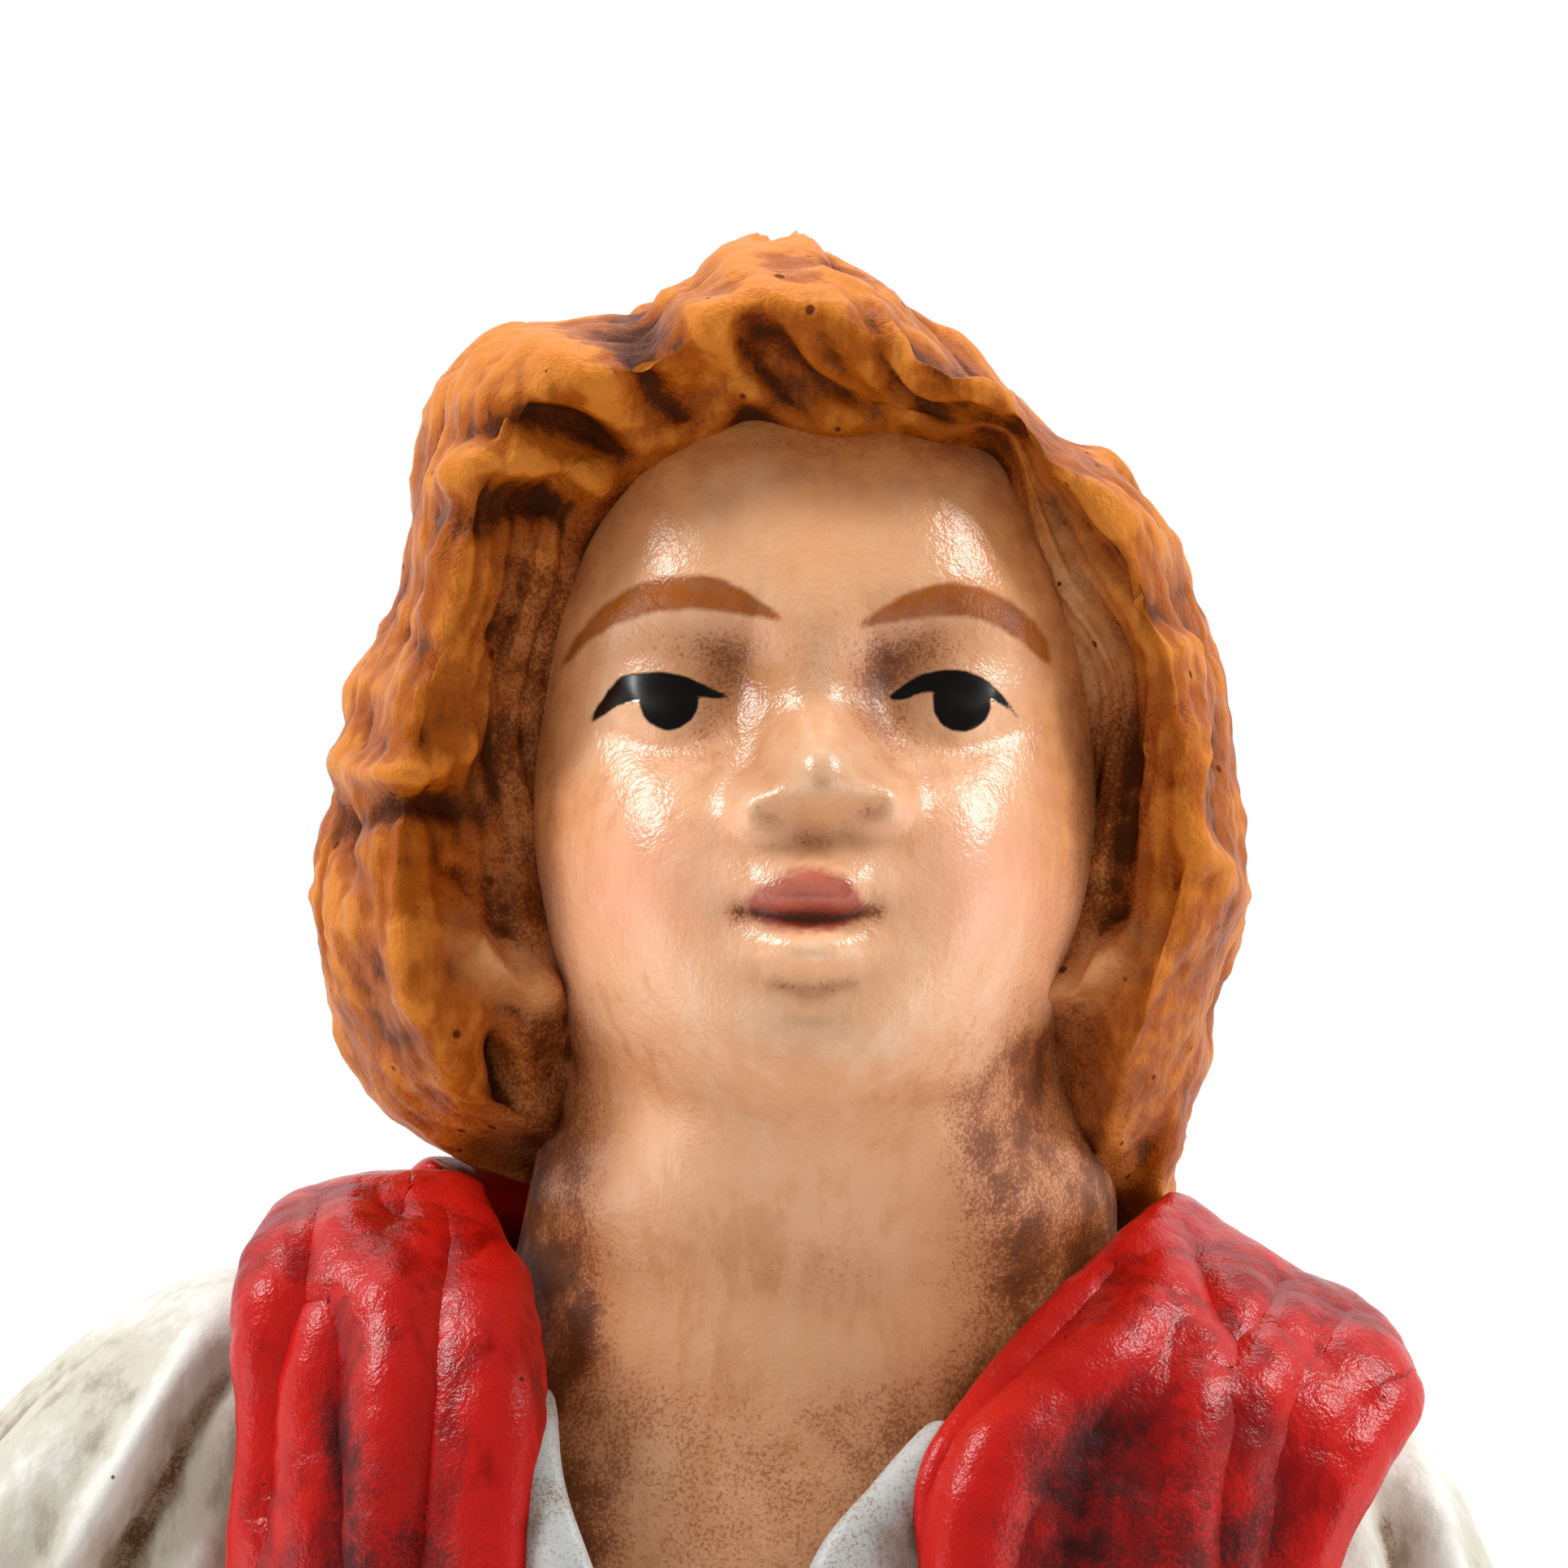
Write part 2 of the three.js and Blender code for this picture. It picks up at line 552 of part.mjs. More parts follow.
const arms = {
  right: { shoulder: shoulderAt(-1, RIGHT_SHOULDER), upper: RIGHT_UPPER_ARM, fore: RIGHT_FOREARM },
  left: { shoulder: shoulderAt(1, LEFT_SHOULDER), upper: LEFT_UPPER_ARM, fore: LEFT_FOREARM },
};
for (const arm of Object.values(arms)) {
  arm.upper = vec(arm.upper).normalize();
  arm.fore = vec(arm.fore).normalize();
  arm.inward = new THREE.Vector3(-Math.sign(arm.shoulder.x), 0, 0);
  arm.root = along(arm.shoulder, arm.inward, SHOULDER_RADIUS);
  arm.elbow = along(arm.shoulder, arm.upper, UPPER_ARM_LENGTH);
  arm.wrist = along(arm.elbow, arm.fore, FOREARM_LENGTH);
  arm.cuffStart = along(arm.wrist, arm.fore, FIT_GAP);
  arm.cuffEnd = along(arm.cuffStart, arm.fore, CUFF_LENGTH);
  arm.handStart = along(arm.cuffEnd, arm.fore, FIT_GAP);
  arm.palm = along(arm.handStart, arm.fore, HAND_REACH);
}

/** A loose sleeve from inside the shoulder to the wrist. */
function sleeveForm(arm, grow = 0) {
  const nearElbow = UPPER_ARM_LENGTH * 0.8;
  return limb(
    [
      { at: arm.root, r: SHOULDER_RADIUS },
      { at: along(arm.shoulder, arm.upper, UPPER_ARM_LENGTH * 0.3), r: SHOULDER_RADIUS },
      { at: along(arm.shoulder, arm.upper, nearElbow), r: ELBOW_RADIUS },
      { at: along(arm.elbow, arm.fore, UPPER_ARM_LENGTH - nearElbow), r: ELBOW_RADIUS },
      { at: arm.wrist, r: WRIST_RADIUS },
    ],
    grow,
  );
}

const armWire = (arm, grow = 0) =>
  wire(
    [
      along(arm.root, arm.inward, WIRE_BITE),
      along(arm.shoulder, arm.upper, SHOULDER_RADIUS / 2),
      along(arm.shoulder, arm.upper, UPPER_ARM_LENGTH / 2),
      along(arm.elbow, arm.fore, UPPER_ARM_LENGTH * 0.1),
      along(arm.handStart, arm.fore, HAND_REACH * 0.35),
    ],
    WIRE_RADIUS,
    grow,
  );

/** The turned-back band at the end of a sleeve. */
function cuff(arm) {
  const band = limb(
    [
      { at: arm.cuffStart, r: CUFF_RADIUS },
      { at: arm.cuffEnd, r: CUFF_RADIUS },
    ],
    0,
    2,
  );
  return cut(band, [armWire(arm, FIT_GAP)]);
}

// Crook, and the hands

const staffFoot = new THREE.Vector3(STAFF_FOOT[0], STAFF_FOOT[1], BASE_HEIGHT + FIT_GAP);
const staffAxis = arms.right.palm.clone().sub(staffFoot).normalize();
const hookSide = new THREE.Vector3(-1, 0, 0).addScaledVector(staffAxis, staffAxis.x).normalize();

/** A stick steamed round into a hook at its top. */
function crook() {
  const top = along(staffFoot, staffAxis, STAFF_LENGTH);
  const hookCentre = along(top, hookSide, HOOK_RADIUS);
  const points = [0, 0.25, 0.5, 0.75, 0.95].map((t) => along(staffFoot, staffAxis, STAFF_LENGTH * t));
  const arcSteps = 9;
  for (let i = 0; i <= arcSteps; i++) {
    const a = Math.PI - rad((HOOK_SWEEP * i) / arcSteps);
    const sideways = along(hookCentre, hookSide, HOOK_RADIUS * Math.cos(a));
    points.push(along(sideways, staffAxis, HOOK_RADIUS * Math.sin(a)));
  }
  return wire(points, STAFF_RADIUS, 0, 40);
}

const staffBore = () =>
  wire(
    [-1, 0, 1].map((t) => along(arms.right.palm, staffAxis, t * STAFF_LENGTH * 0.4)),
    STAFF_RADIUS + FIT_GAP,
    0,
    2,
  );

/** A point at an angle round the crook, in degrees from the side where the wrist is. */
function roundStaff(degrees, distance, slide) {
  const towards = arms.right.fore.clone().negate();
  const near = towards.addScaledVector(staffAxis, -towards.dot(staffAxis)).normalize();
  const across = new THREE.Vector3().crossVectors(staffAxis, near);
  const a = rad(degrees);
  const centre = along(arms.right.palm, staffAxis, slide);
  return along(along(centre, near, distance * Math.cos(a)), across, distance * Math.sin(a));
}

/** The fist: a palm behind the crook, four fingers and a thumb closed round it, and a bore through. */
function fist() {
  const arm = arms.right;
  const grip = STAFF_RADIUS + FIT_GAP + FINGER_RADIUS;
  const curl = (slide, from, to, r) =>
    limb(
      [0, 0.33, 0.66, 1].map((t) => ({ at: roundStaff(THREE.MathUtils.lerp(from, to, t), grip, slide), r })),
      0,
      2,
      FINGER_SIDES,
    );
  const fingers = [-1.5, -0.5, 0.5, 1.5].map((n) => curl(n * FINGER_PITCH, 20, 265, FINGER_RADIUS));
  const thumb = curl(FINGER_PITCH * 2.2, 20, -120, FINGER_RADIUS);
  const back = limb([
    { at: arm.handStart, r: HAND_WRIST_RADIUS },
    { at: along(arm.handStart, arm.fore, HAND_REACH * 0.4), r: HAND_WRIST_RADIUS },
    { at: roundStaff(0, grip * 0.4, 0), r: FINGER_PITCH * 1.2 },
  ]);
  const whole = join([back, thumb, ...fingers]);
  return mainLump(cut(whole, [staffBore(), armWire(arm, FIT_GAP)]));
}

/** The open hand, palm upwards, held out. */
function openHand() {
  const arm = arms.left;
  const up = new THREE.Vector3(0, 0, 1);
  const level = up.addScaledVector(arm.fore, -up.dot(arm.fore)).normalize();
  const across = new THREE.Vector3().crossVectors(arm.fore, level);
  const basis = new THREE.Matrix4().makeBasis(across, arm.fore, level);
  const turn = new THREE.Euler().setFromRotationMatrix(basis);
  const spot = (side, reach, lift) =>
    along(along(along(arm.handStart, across, side), arm.fore, reach), level, lift);
  const palmSize = [FINGER_PITCH * 1.75, HAND_REACH * 0.75, PALM_THICKNESS / 2];
  const palm = ball(spot(0, HAND_REACH * 0.72, 0), palmSize, turn);
  const wrist = limb([
    { at: spot(0, 0, 0), r: HAND_WRIST_RADIUS },
    { at: spot(0, HAND_REACH * 0.5, 0), r: PALM_THICKNESS / 2 },
  ]);
  const finger = (n, length) =>
    limb(
      [
        { at: spot(n * FINGER_PITCH * 0.8, HAND_REACH, 0), r: FINGER_RADIUS },
        { at: spot(n * FINGER_PITCH, HAND_REACH + length * 0.6, 0.2), r: FINGER_RADIUS },
        { at: spot(n * FINGER_PITCH, HAND_REACH + length, 1.2), r: FINGER_RADIUS * 0.75 },
      ],
      0,
      2,
      FINGER_SIDES,
    );
  const fingers = FINGER_LENGTHS.map((length, i) => finger(i - 1.5, length));
  const thumbSide = FINGER_PITCH * 1.5 + FINGER_RADIUS * 2 + THUMB_GAP;
  const thumb = limb(
    [
      { at: spot(-FINGER_PITCH * 0.9, HAND_REACH * 0.45, 0.4), r: FINGER_RADIUS * 1.2 },
      { at: spot(-thumbSide * 0.8, HAND_REACH * 0.9, 0.9), r: FINGER_RADIUS },
      { at: spot(-thumbSide, HAND_REACH * 1.35, 1.4), r: FINGER_RADIUS * 0.75 },
    ],
    0,
    2,
    FINGER_SIDES,
  );
  return cut(join([palm, wrist, thumb, ...fingers]), [armWire(arm, FIT_GAP)]);
}

// Clothes

/** The gap between the two fronts of the waistcoat, narrowed by shrink on each side, as a cutting block. */
function vestOpening(shrink = 0) {
  const outline = [
    ...VEST_RIGHT_EDGE.map(({ x, drop }) => new THREE.Vector2(x + shrink, torsoTopZ - drop)),
    ...VEST_LEFT_EDGE.map(({ x, drop }) => new THREE.Vector2(x - shrink, torsoTopZ - drop)).reverse(),
  ];
  const shape = new THREE.Shape(outline);
  const prism = new THREE.ExtrudeGeometry(shape, { depth: FAR, bevelEnabled: false });
  return solid(prism.rotateX(Math.PI / 2).translate(0, BODY_SETBACK, 0));
}

/** Height of the long folds in the back of the waistcoat: a wave across, nothing at the sides and shoulders. */
function backFolds(across, back, z) {
  const fall = THREE.MathUtils.smoothstep(torsoTopZ - FOLD_TOP - z, 0, FOLD_RUN);
  return FOLD_DEPTH * fall * Math.max(back, 0) * Math.cos((2 * Math.PI * across) / FOLD_PITCH);
}

/** The whole waistcoat: a layer over the torso that stands out over the tops of the arms. */
function vestForm(grow = 0) {
  const stations = torsoStations(VEST_HEM, FIT_GAP + VEST_THICKNESS, VEST_REACH);
  const layer = trunk(stations, grow, 2, VEST_SIDES, backFolds);
  return cut(layer, [vestOpening(grow)]);
}

const seamY = BODY_SETBACK + 0.9;

/** One panel of the waistcoat, cut along the shoulder and side seams. */
function vestPanel(low, high) {
  const inside = [torsoForm(FIT_GAP), headForm(FIT_GAP)];
  const armholes = [sleeveForm(arms.right, FIT_GAP), sleeveForm(arms.left, FIT_GAP)];
  return mainLump(cut(vestForm(), [...inside, ...armholes]).intersect(block(low, high)));
}

/** A sash wound round the waist, over the shirt and the breeches. */
function sash() {
  const outwards = FIT_GAP + SASH_THICKNESS;
  const grown = (size) => size.map((v) => v + outwards);
  const band = trunk([
    { z: waistZ - SASH_DROP, size: grown(between(WAIST_SIZE, HIP_SIZE, SASH_DROP / HIP_HEIGHT)) },
    { z: waistZ, size: grown(WAIST_SIZE) },
    { z: waistZ + SASH_RISE, size: grown(WAIST_SIZE) },
  ]);
  return cut(band, [torsoForm(FIT_GAP), breeches(FIT_GAP)]);
}

/** One rolled edge of the open shirt, between the bare breast and the waistcoat. */
function collar(points) {
  const roll = limb(
    points.map(({ x, y, drop }) => ({ at: new THREE.Vector3(x, y, torsoTopZ - drop), r: COLLAR_RADIUS })),
  );
  const neighbours = [torsoForm(FIT_GAP), headForm(FIT_GAP), vestForm(FIT_GAP)];
  return mainLump(cut(roll, neighbours));
}

// Hair

/** Reads a value off rows of [key, value] with rising keys, straight between two rows. */
function readTable(rows, key) {
  const i = Math.max(1, rows.findIndex((row) => row[0] >= key));
  const [low, high] = [rows[i - 1], rows[i]];
  return THREE.MathUtils.mapLinear(key, low[0], high[0], low[1], high[1]);
}

/** Rows of [degrees, distance] of a closed line round the middle of the head, a little more than once round. */
function roundTable(line) {
  const bearing = (x, up) => THREE.MathUtils.euclideanModulo(THREE.MathUtils.radToDeg(Math.atan2(x, up)), 360);
  const rows = line.map(([x, up]) => [bearing(x, up), Math.hypot(x, up)]).sort((a, b) => a[0] - b[0]);
  const [first, last] = [rows[0], rows.at(-1)];
  return [[last[0] - 360, last[1]], ...rows, [first[0] + 360, first[1]]];
}

const hairEdge = roundTable(HAIR_OUTLINE);
const hairStart = roundTable(HAIRLINE);
const crestDepth = HAIR_DEPTHS.map(({ turn, crest }) => [turn, crest]);
const lineDepth = HAIR_DEPTHS.map(({ turn, line }) => [turn, line]);

/** The section of the hair at a turn round the face, from under the face over the crest to the back. */
function hairSection(turn) {
  const line = readTable(hairStart, turn);
  const edge = Math.max(readTable(hairEdge, turn), line + HAIR_LEAST);
  const middle = (line + edge) / 2;
  const crest = readTable(crestDepth, turn);
  const start = readTable(lineDepth, turn);
  const rim = Math.max(HAIR_RIM, crest + HAIR_RIM_DROP);
  const front = [
    [line - HAIR_TUCK.reach, start + HAIR_TUCK.depth],
    [line - HAIR_LIP, start + HAIR_LIP_DEPTH],
    [line + HAIR_LIP, THREE.MathUtils.lerp(start, crest, 1 / 3)],
    [middle - HAIR_LIP, crest],
    [middle + HAIR_LIP, crest],
    [edge - HAIR_SHOULDER.inset, crest + HAIR_SHOULDER.drop],
    [edge, rim],
  ];
  const back = HAIR_BACK_SHARES.map(({ reach, depth }) => [
    edge * reach,
    THREE.MathUtils.lerp(rim, HAIR_BACK, depth),
  ]);
  const a = rad(turn);
  const points = [...front, ...back].map(([d, y]) => new THREE.Vector3(d * Math.sin(a), y, d * Math.cos(a)));
  return new THREE.CatmullRomCurve3(points, false, "centripetal").getPoints((points.length - 1) * 2);
}

/** Height of the wavy furrows that run down the back of the hair from the crown. */
function furrow(p) {
  const from = p.clone().sub(vec(HAIR_CROWN));
  const turn = Math.atan2(from.x, from.y);
  const fall = from.length();
  const wander = FURROW_WAVES.reduce((sum, w) => sum + w.swing * Math.sin(w.rate * fall + w.twist * Math.sin(turn)), 0);
  const roll = Math.abs(Math.sin((FURROW_COUNT / 2) * turn + wander));
  const behind = THREE.MathUtils.smoothstep(p.y - HAIR_SEAM, 0, FURROW_RUN.seam);
  return FURROW_DEPTH * (roll - FURROW_LEVEL) * behind * THREE.MathUtils.smoothstep(fall, 0, FURROW_RUN.crown);
}

/** The whole hair, wrapped round the face, before it is parted in five pads. */
function hairForm() {
  const sections = Array.from({ length: HAIR_COLUMNS }, (_, j) => hairSection((360 * j) / HAIR_COLUMNS));
  const rings = sections[0].map((_, i) => sections.map((section) => section[i]));
  const middle = new THREE.Vector3(0, HAIR_BACK / 6, 0);
  const raised = (p) => along(p, p.clone().sub(middle).normalize(), furrow(p));
  return loft(rings.map((ring) => ring.map((p) => raised(p).add(headCentre))));
}

/** The room of one front lock: a wedge between two turns round the face, in front of the cap. */
function lockWedge([from, to]) {
  const way = (turn) => new THREE.Vector2(Math.sin(rad(turn)), Math.cos(rad(turn)));
  const tip = way((from + to) / 2).multiplyScalar(FIT_GAP / 2 / Math.sin(rad((to - from) / 2)));
  const turns = [0, 0.33, 0.67, 1].map((t) => THREE.MathUtils.lerp(from, to, t));
  const shape = new THREE.Shape([tip, ...turns.map((turn) => way(turn).multiplyScalar(FAR).add(tip))]);
  const prism = new THREE.ExtrudeGeometry(shape, { depth: FAR, bevelEnabled: false });
  return solid(prism.rotateX(Math.PI / 2).translate(0, HAIR_SEAM - FIT_GAP / 2, headZ));
}

/** One pad of the hair, seated against the head and clear of the clothes. */
function hairPad(room) {
  const neighbours = [headForm(FIT_GAP), vestForm(FIT_GAP), torsoForm(FIT_GAP)];
  return mainLump(cut(hairForm().intersect(room), neighbours));
}

// Colours and finishes

const finish = (color, roughness, metalness = 0) =>
  new THREE.MeshStandardMaterial({ color, roughness, metalness });
const flesh = finish(0xe0ad85, 0.35);
const hairPaint = finish(0xa9591b, 0.45);
const redPaint = finish(0xb01414, 0.4);
const shirtPaint = finish(0xd6d2c4, 0.6);
const sashPaint = finish(0x5a6238, 0.55);
const breechesPaint = finish(0x6b4a2c, 0.6);
const stockingPaint = finish(0xcbbd9c, 0.65);
const bootPaint = finish(0x3c2617, 0.5);
const groundPaint = finish(0x7d7547, 0.8);
const bareWood = finish(0x8a5f35, 0.6);
const steel = finish(0x8d8f92, 0.4, 1);

// Assembly

const shepherd = new THREE.Group();
const place = (name, body, material) => {
  const mesh = new THREE.Mesh(surface(body), material);
  mesh.name = name;
  shepherd.add(mesh);
};

place("ground_base", groundBase(), groundPaint);
for (const [side, leg] of Object.entries(legs)) {
  place(side + "_boot", boot(leg), bootPaint);
  place(side + "_stocking", stocking(leg), stockingPaint);
  place(side + "_leg_rod", legRod(leg), steel);
}
const rodHoles = Object.values(legs).map((leg) => legRod(leg, FIT_GAP));
place("breeches", cut(breeches(), rodHoles), breechesPaint);
place("sash", sash(), sashPaint);

const wireHoles = Object.values(arms).map((arm) => armWire(arm, FIT_GAP));
place("torso", cut(torsoForm(), [headForm(FIT_GAP), dowel(FIT_GAP), ...wireHoles]), shirtPaint);
place("neck_dowel", dowel(), bareWood);
place("head", cut(headForm(), [dowel(FIT_GAP), ...wireHoles]), flesh);
place("right_collar", collar(RIGHT_COLLAR), shirtPaint);
place("left_collar", collar(LEFT_COLLAR), shirtPaint);
place("vest_back", vestPanel([-FAR, seamY + FIT_GAP, 0], [FAR, FAR, FAR]), redPaint);
place("vest_right_front", vestPanel([-FAR, -FAR, 0], [BREAST_FORM.at[0], seamY, FAR]), redPaint);
place("vest_left_front", vestPanel([BREAST_FORM.at[0], -FAR, 0], [FAR, seamY, FAR]), redPaint);
for (const [side, arm] of Object.entries(arms)) {
  const sleeve = cut(sleeveForm(arm), [torsoForm(FIT_GAP), headForm(FIT_GAP), armWire(arm, FIT_GAP)]);
  place(side + "_sleeve", mainLump(sleeve), shirtPaint);
  place(side + "_cuff", cuff(arm), shirtPaint);
  place(side + "_arm_wire", armWire(arm), steel);
}
place("right_hand", fist(), flesh);
place("left_hand", openHand(), flesh);

place("hair_cap", hairPad(block([-FAR, HAIR_SEAM + FIT_GAP / 2, 0], [FAR, FAR, FAR])), hairPaint);
for (const [name, turns] of Object.entries(LOCK_TURNS)) place(name, hairPad(lockWedge(turns)), hairPaint);

place("crook", crook(), bareWood);

export default shepherd;
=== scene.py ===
# %% [markdown]
# # A shepherd boy of painted clay
# The object is a hand-painted clay figure for a crib scene, about 15 cm high: a boy who looks up, with
# auburn hair, an open shirt, a red waistcoat and a wooden crook. The CAD model holds the sizes and the
# one joint. This script gives every piece its modelled skin and its paint. A figure like this could be
# sculpted by hand in Blender, but numbers can be read, changed and run again, so each skin here is a
# formula worked out on a grid of points.

# %% The frame
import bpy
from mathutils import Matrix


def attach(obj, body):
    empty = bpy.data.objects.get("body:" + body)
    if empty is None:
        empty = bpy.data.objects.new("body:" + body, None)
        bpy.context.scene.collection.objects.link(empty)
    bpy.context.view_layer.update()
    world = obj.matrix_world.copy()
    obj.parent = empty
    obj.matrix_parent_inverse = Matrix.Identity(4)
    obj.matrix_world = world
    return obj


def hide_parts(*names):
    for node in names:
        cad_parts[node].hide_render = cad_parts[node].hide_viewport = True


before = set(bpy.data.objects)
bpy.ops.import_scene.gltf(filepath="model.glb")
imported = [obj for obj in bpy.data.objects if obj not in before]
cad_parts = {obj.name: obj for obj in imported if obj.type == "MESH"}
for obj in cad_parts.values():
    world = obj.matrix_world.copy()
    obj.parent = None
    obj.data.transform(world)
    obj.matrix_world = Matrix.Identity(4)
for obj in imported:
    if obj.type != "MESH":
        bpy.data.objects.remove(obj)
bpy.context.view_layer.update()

import bpy
import numpy as np
from mathutils import Vector

MM = 0.001  # the skins are worked out in millimetres, and the scene is in metres
HEAD = np.array([0.0, 0.0, 132.0])  # middle of the head in the CAD model
print("CAD nodes:", len(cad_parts))

# %% [markdown]
# ## Curves and strokes
# A modeller works with a few moves: a smooth line through chosen points, a roll or a groove drawn along
# such a line, and a dab pressed on or in. These are the same moves on arrays: a distance is found for
# every point at once, and a bell curve of that distance is the height of the clay.


# %% Smooth curves
def curve(t, knots, values):
    """Smooth curve: on each span a cubic through both knots, with slopes taken from the neighbouring
    knots."""
    knots = np.asarray(knots, float)
    values = np.asarray(values, float)
    slope = np.gradient(values, knots, axis=0)
    t = np.clip(np.asarray(t, float), knots[0], knots[-1])
    i = np.clip(np.searchsorted(knots, t, side="right") - 1, 0, len(knots) - 2)
    span = knots[i + 1] - knots[i]
    u = (t - knots[i]) / span
    plain = u.shape + (1,) * (values.ndim - 1)
    u = u.reshape(plain)
    span = span.reshape(plain)
    rise = u * u * (3 - 2 * u)
    lean = span * u * (1 - u) * ((1 - u) * slope[i] - u * slope[i + 1])
    return values[i] * (1 - rise) + values[i + 1] * rise + lean


def lengths(points):
    """Length of the path up to each of its points."""
    steps = np.linalg.norm(np.diff(points, axis=0), axis=1)
    return np.concatenate([[0], np.cumsum(steps)])


def through(points, count):
    """Points spread evenly along a smooth path through a few chosen ones."""
    points = np.asarray(points, float)
    length = lengths(points)
    return curve(np.linspace(0, length[-1], count), length, points)


def soft_step(value, low, high):
    """Rises smoothly from 0 at low to 1 at high."""
    t = np.clip((value - low) / (high - low), 0, 1)
    return t * t * (3 - 2 * t)


# %% Strokes and dabs
def distance_to(a, b, path):
    """Distance from each point (a, b) to the nearest straight span of a path, and the share of the path
    before it."""
    nearest = np.full(a.shape, 1e9)
    share = np.zeros(a.shape)
    spans = len(path) - 1
    for i in range(spans):
        start = path[i]
        step = path[i + 1] - start
        t = ((a - start[0]) * step[0] + (b - start[1]) * step[1]) / (step @ step + 1e-12)
        t = np.clip(t, 0, 1)
        d = np.hypot(a - start[0] - t * step[0], b - start[1] - t * step[1])
        share = np.where(d < nearest, (i + t) / spans, share)
        nearest = np.minimum(d, nearest)
    return nearest, share


def stroke(a, b, points, width, height):
    """A roll (or, below zero, a groove): height times a bell curve of the distance to a path, thin at its
    ends."""
    d, share = distance_to(a, b, through(points, 14))
    ends = np.sin(np.pi * np.clip(share, 0.03, 0.97)) ** 0.4
    return height * ends * np.exp(-((d / width) ** 2))


def dab(a, b, at, size, height, fullness=1.0):
    """A dab of clay: height times a bell curve round a spot, with its own width each way. Above 1 it is
    fuller."""
    spread = ((a - at[0]) / size[0]) ** 2 + ((b - at[1]) / size[1]) ** 2
    return height * np.exp(-(spread**fullness))


def pressed(a, b, dabs=(), strokes=()):
    """Several dabs and strokes added up."""
    return sum(dab(a, b, *each) for each in dabs) + sum(stroke(a, b, *each) for each in strokes)


def tool_marks(points, length, seed):
    """Uneven lumps about this long, from -1 to 1: sine waves that run in chosen random ways, added up."""
    random = np.random.default_rng(seed)
    count = 14
    ways = random.normal(size=(count, 3))
    pace = 2 * np.pi / length * random.uniform(0.7, 1.4, (count, 1))
    ways *= pace / np.linalg.norm(ways, axis=1, keepdims=True)
    start = random.uniform(0, 2 * np.pi, count)
    return np.sin(points @ ways.T + start).sum(axis=-1) / 5


def depth_inside(a, b, corners):
    """Distance to a smooth closed outline, above zero inside it: the side comes from counting crossings."""
    ring = np.asarray(corners, float)
    wrapped = np.vstack([ring[-2:], ring, ring[:3]])
    length = lengths(wrapped)
    t = np.linspace(length[2], length[2 + len(ring)], 5 * len(ring))
    path = curve(t, length, wrapped)
    inside = np.zeros(a.shape, bool)
    for (x0, y0), (x1, y1) in zip(path[:-1], path[1:]):
        slope = (x1 - x0) / (y1 - y0 + 1e-12)
        inside ^= ((y0 > b) != (y1 > b)) & (a < slope * (b - y0) + x0)
    return np.where(inside, 1, -1) * distance_to(a, b, path)[0]


# %% [markdown]
# ## Skins
# A tube is a stack of rings, closed by a fan at each end. A slab is a sheet of clay with two skins that
# share their rim, so it has a real, rounded edge. A pressing is several closed forms run together:
# Blender's voxel Remesh is the quick way to melt fingers into a palm. Each piece also stores how deep
# every point lies below its surroundings, because a painter's brown wash runs into the hollows and a dry
# brush catches the ridges.


# %% Grids into faces
def grid_faces(numbers):
    """The four corners of each cell of a grid of vertex numbers."""
    corners = [numbers[:-1, :-1], numbers[:-1, 1:], numbers[1:, 1:], numbers[1:, :-1]]
    return np.stack(corners, -1).reshape(-1, 4)


def tube(rings):
    """Vertices and faces over rings of points, the last column joined to the first, with a fan at each
    end."""
    rows, columns = rings.shape[:2]
    numbers = np.arange(rows * columns).reshape(rows, columns)
    numbers = np.hstack([numbers, numbers[:, :1]])
    low, high = rows * columns, rows * columns + 1
    bottom = [[low, b, a] for a, b in zip(numbers[0, :-1].tolist(), numbers[0, 1:].tolist())]
    top = [[high, a, b] for a, b in zip(numbers[-1, :-1].tolist(), numbers[-1, 1:].tolist())]
    ends = rings[[0, -1]].mean(axis=1)
    return np.vstack([rings.reshape(-1, 3), ends]), grid_faces(numbers).tolist() + bottom + top


def with_ends(values):
    """The marks of a grid of rings, and none for the two points that close the tube."""
    return np.concatenate([np.ravel(values), np.zeros(2)])


def normals(sheet):
    """Unit normals of a grid of points: the cross product of its two directions."""
    normal = np.cross(np.gradient(sheet, axis=1), np.gradient(sheet, axis=0))
    return normal / (np.linalg.norm(normal, axis=-1, keepdims=True) + 1e-12)


def slab(sheet, thickness):
    """Vertices and faces of a sheet pushed half its thickness both ways along its normal, with a shared
    rim."""
    rows, columns = sheet.shape[:2]
    push = normals(sheet) * thickness[..., None] / 2
    numbers = np.arange(rows * columns).reshape(rows, columns)
    behind = numbers.copy()
    behind[1:-1, 1:-1] = rows * columns + np.arange((rows - 2) * (columns - 2)).reshape(rows - 2, columns - 2)
    vertices = np.vstack([(sheet + push).reshape(-1, 3), (sheet - push)[1:-1, 1:-1].reshape(-1, 3)])
    return vertices, grid_faces(numbers).tolist() + grid_faces(behind)[:, ::-1].tolist()


def rim_thickness(u, v, thickness, roundness=10):
    """Thickness of a slab: full in the middle and falling in a round to nothing at the four edges."""
    edge = (1 - np.abs(2 * u - 1) ** roundness) * (1 - np.abs(2 * v - 1) ** (roundness * 2.5))
    return thickness * np.sqrt(np.clip(edge, 0, 1))


def sheet_between(first, second, rows, columns):
    """A sheet of straight lines from one drawn edge to the other, and the shares across and along it."""
    u, v = np.meshgrid(np.linspace(0, 1, columns), np.linspace(0, 1, rows))
    inner = through(first, rows)[:, None]
    outer = through(second, rows)[:, None]
    return inner + (outer - inner) * u[..., None], u, v


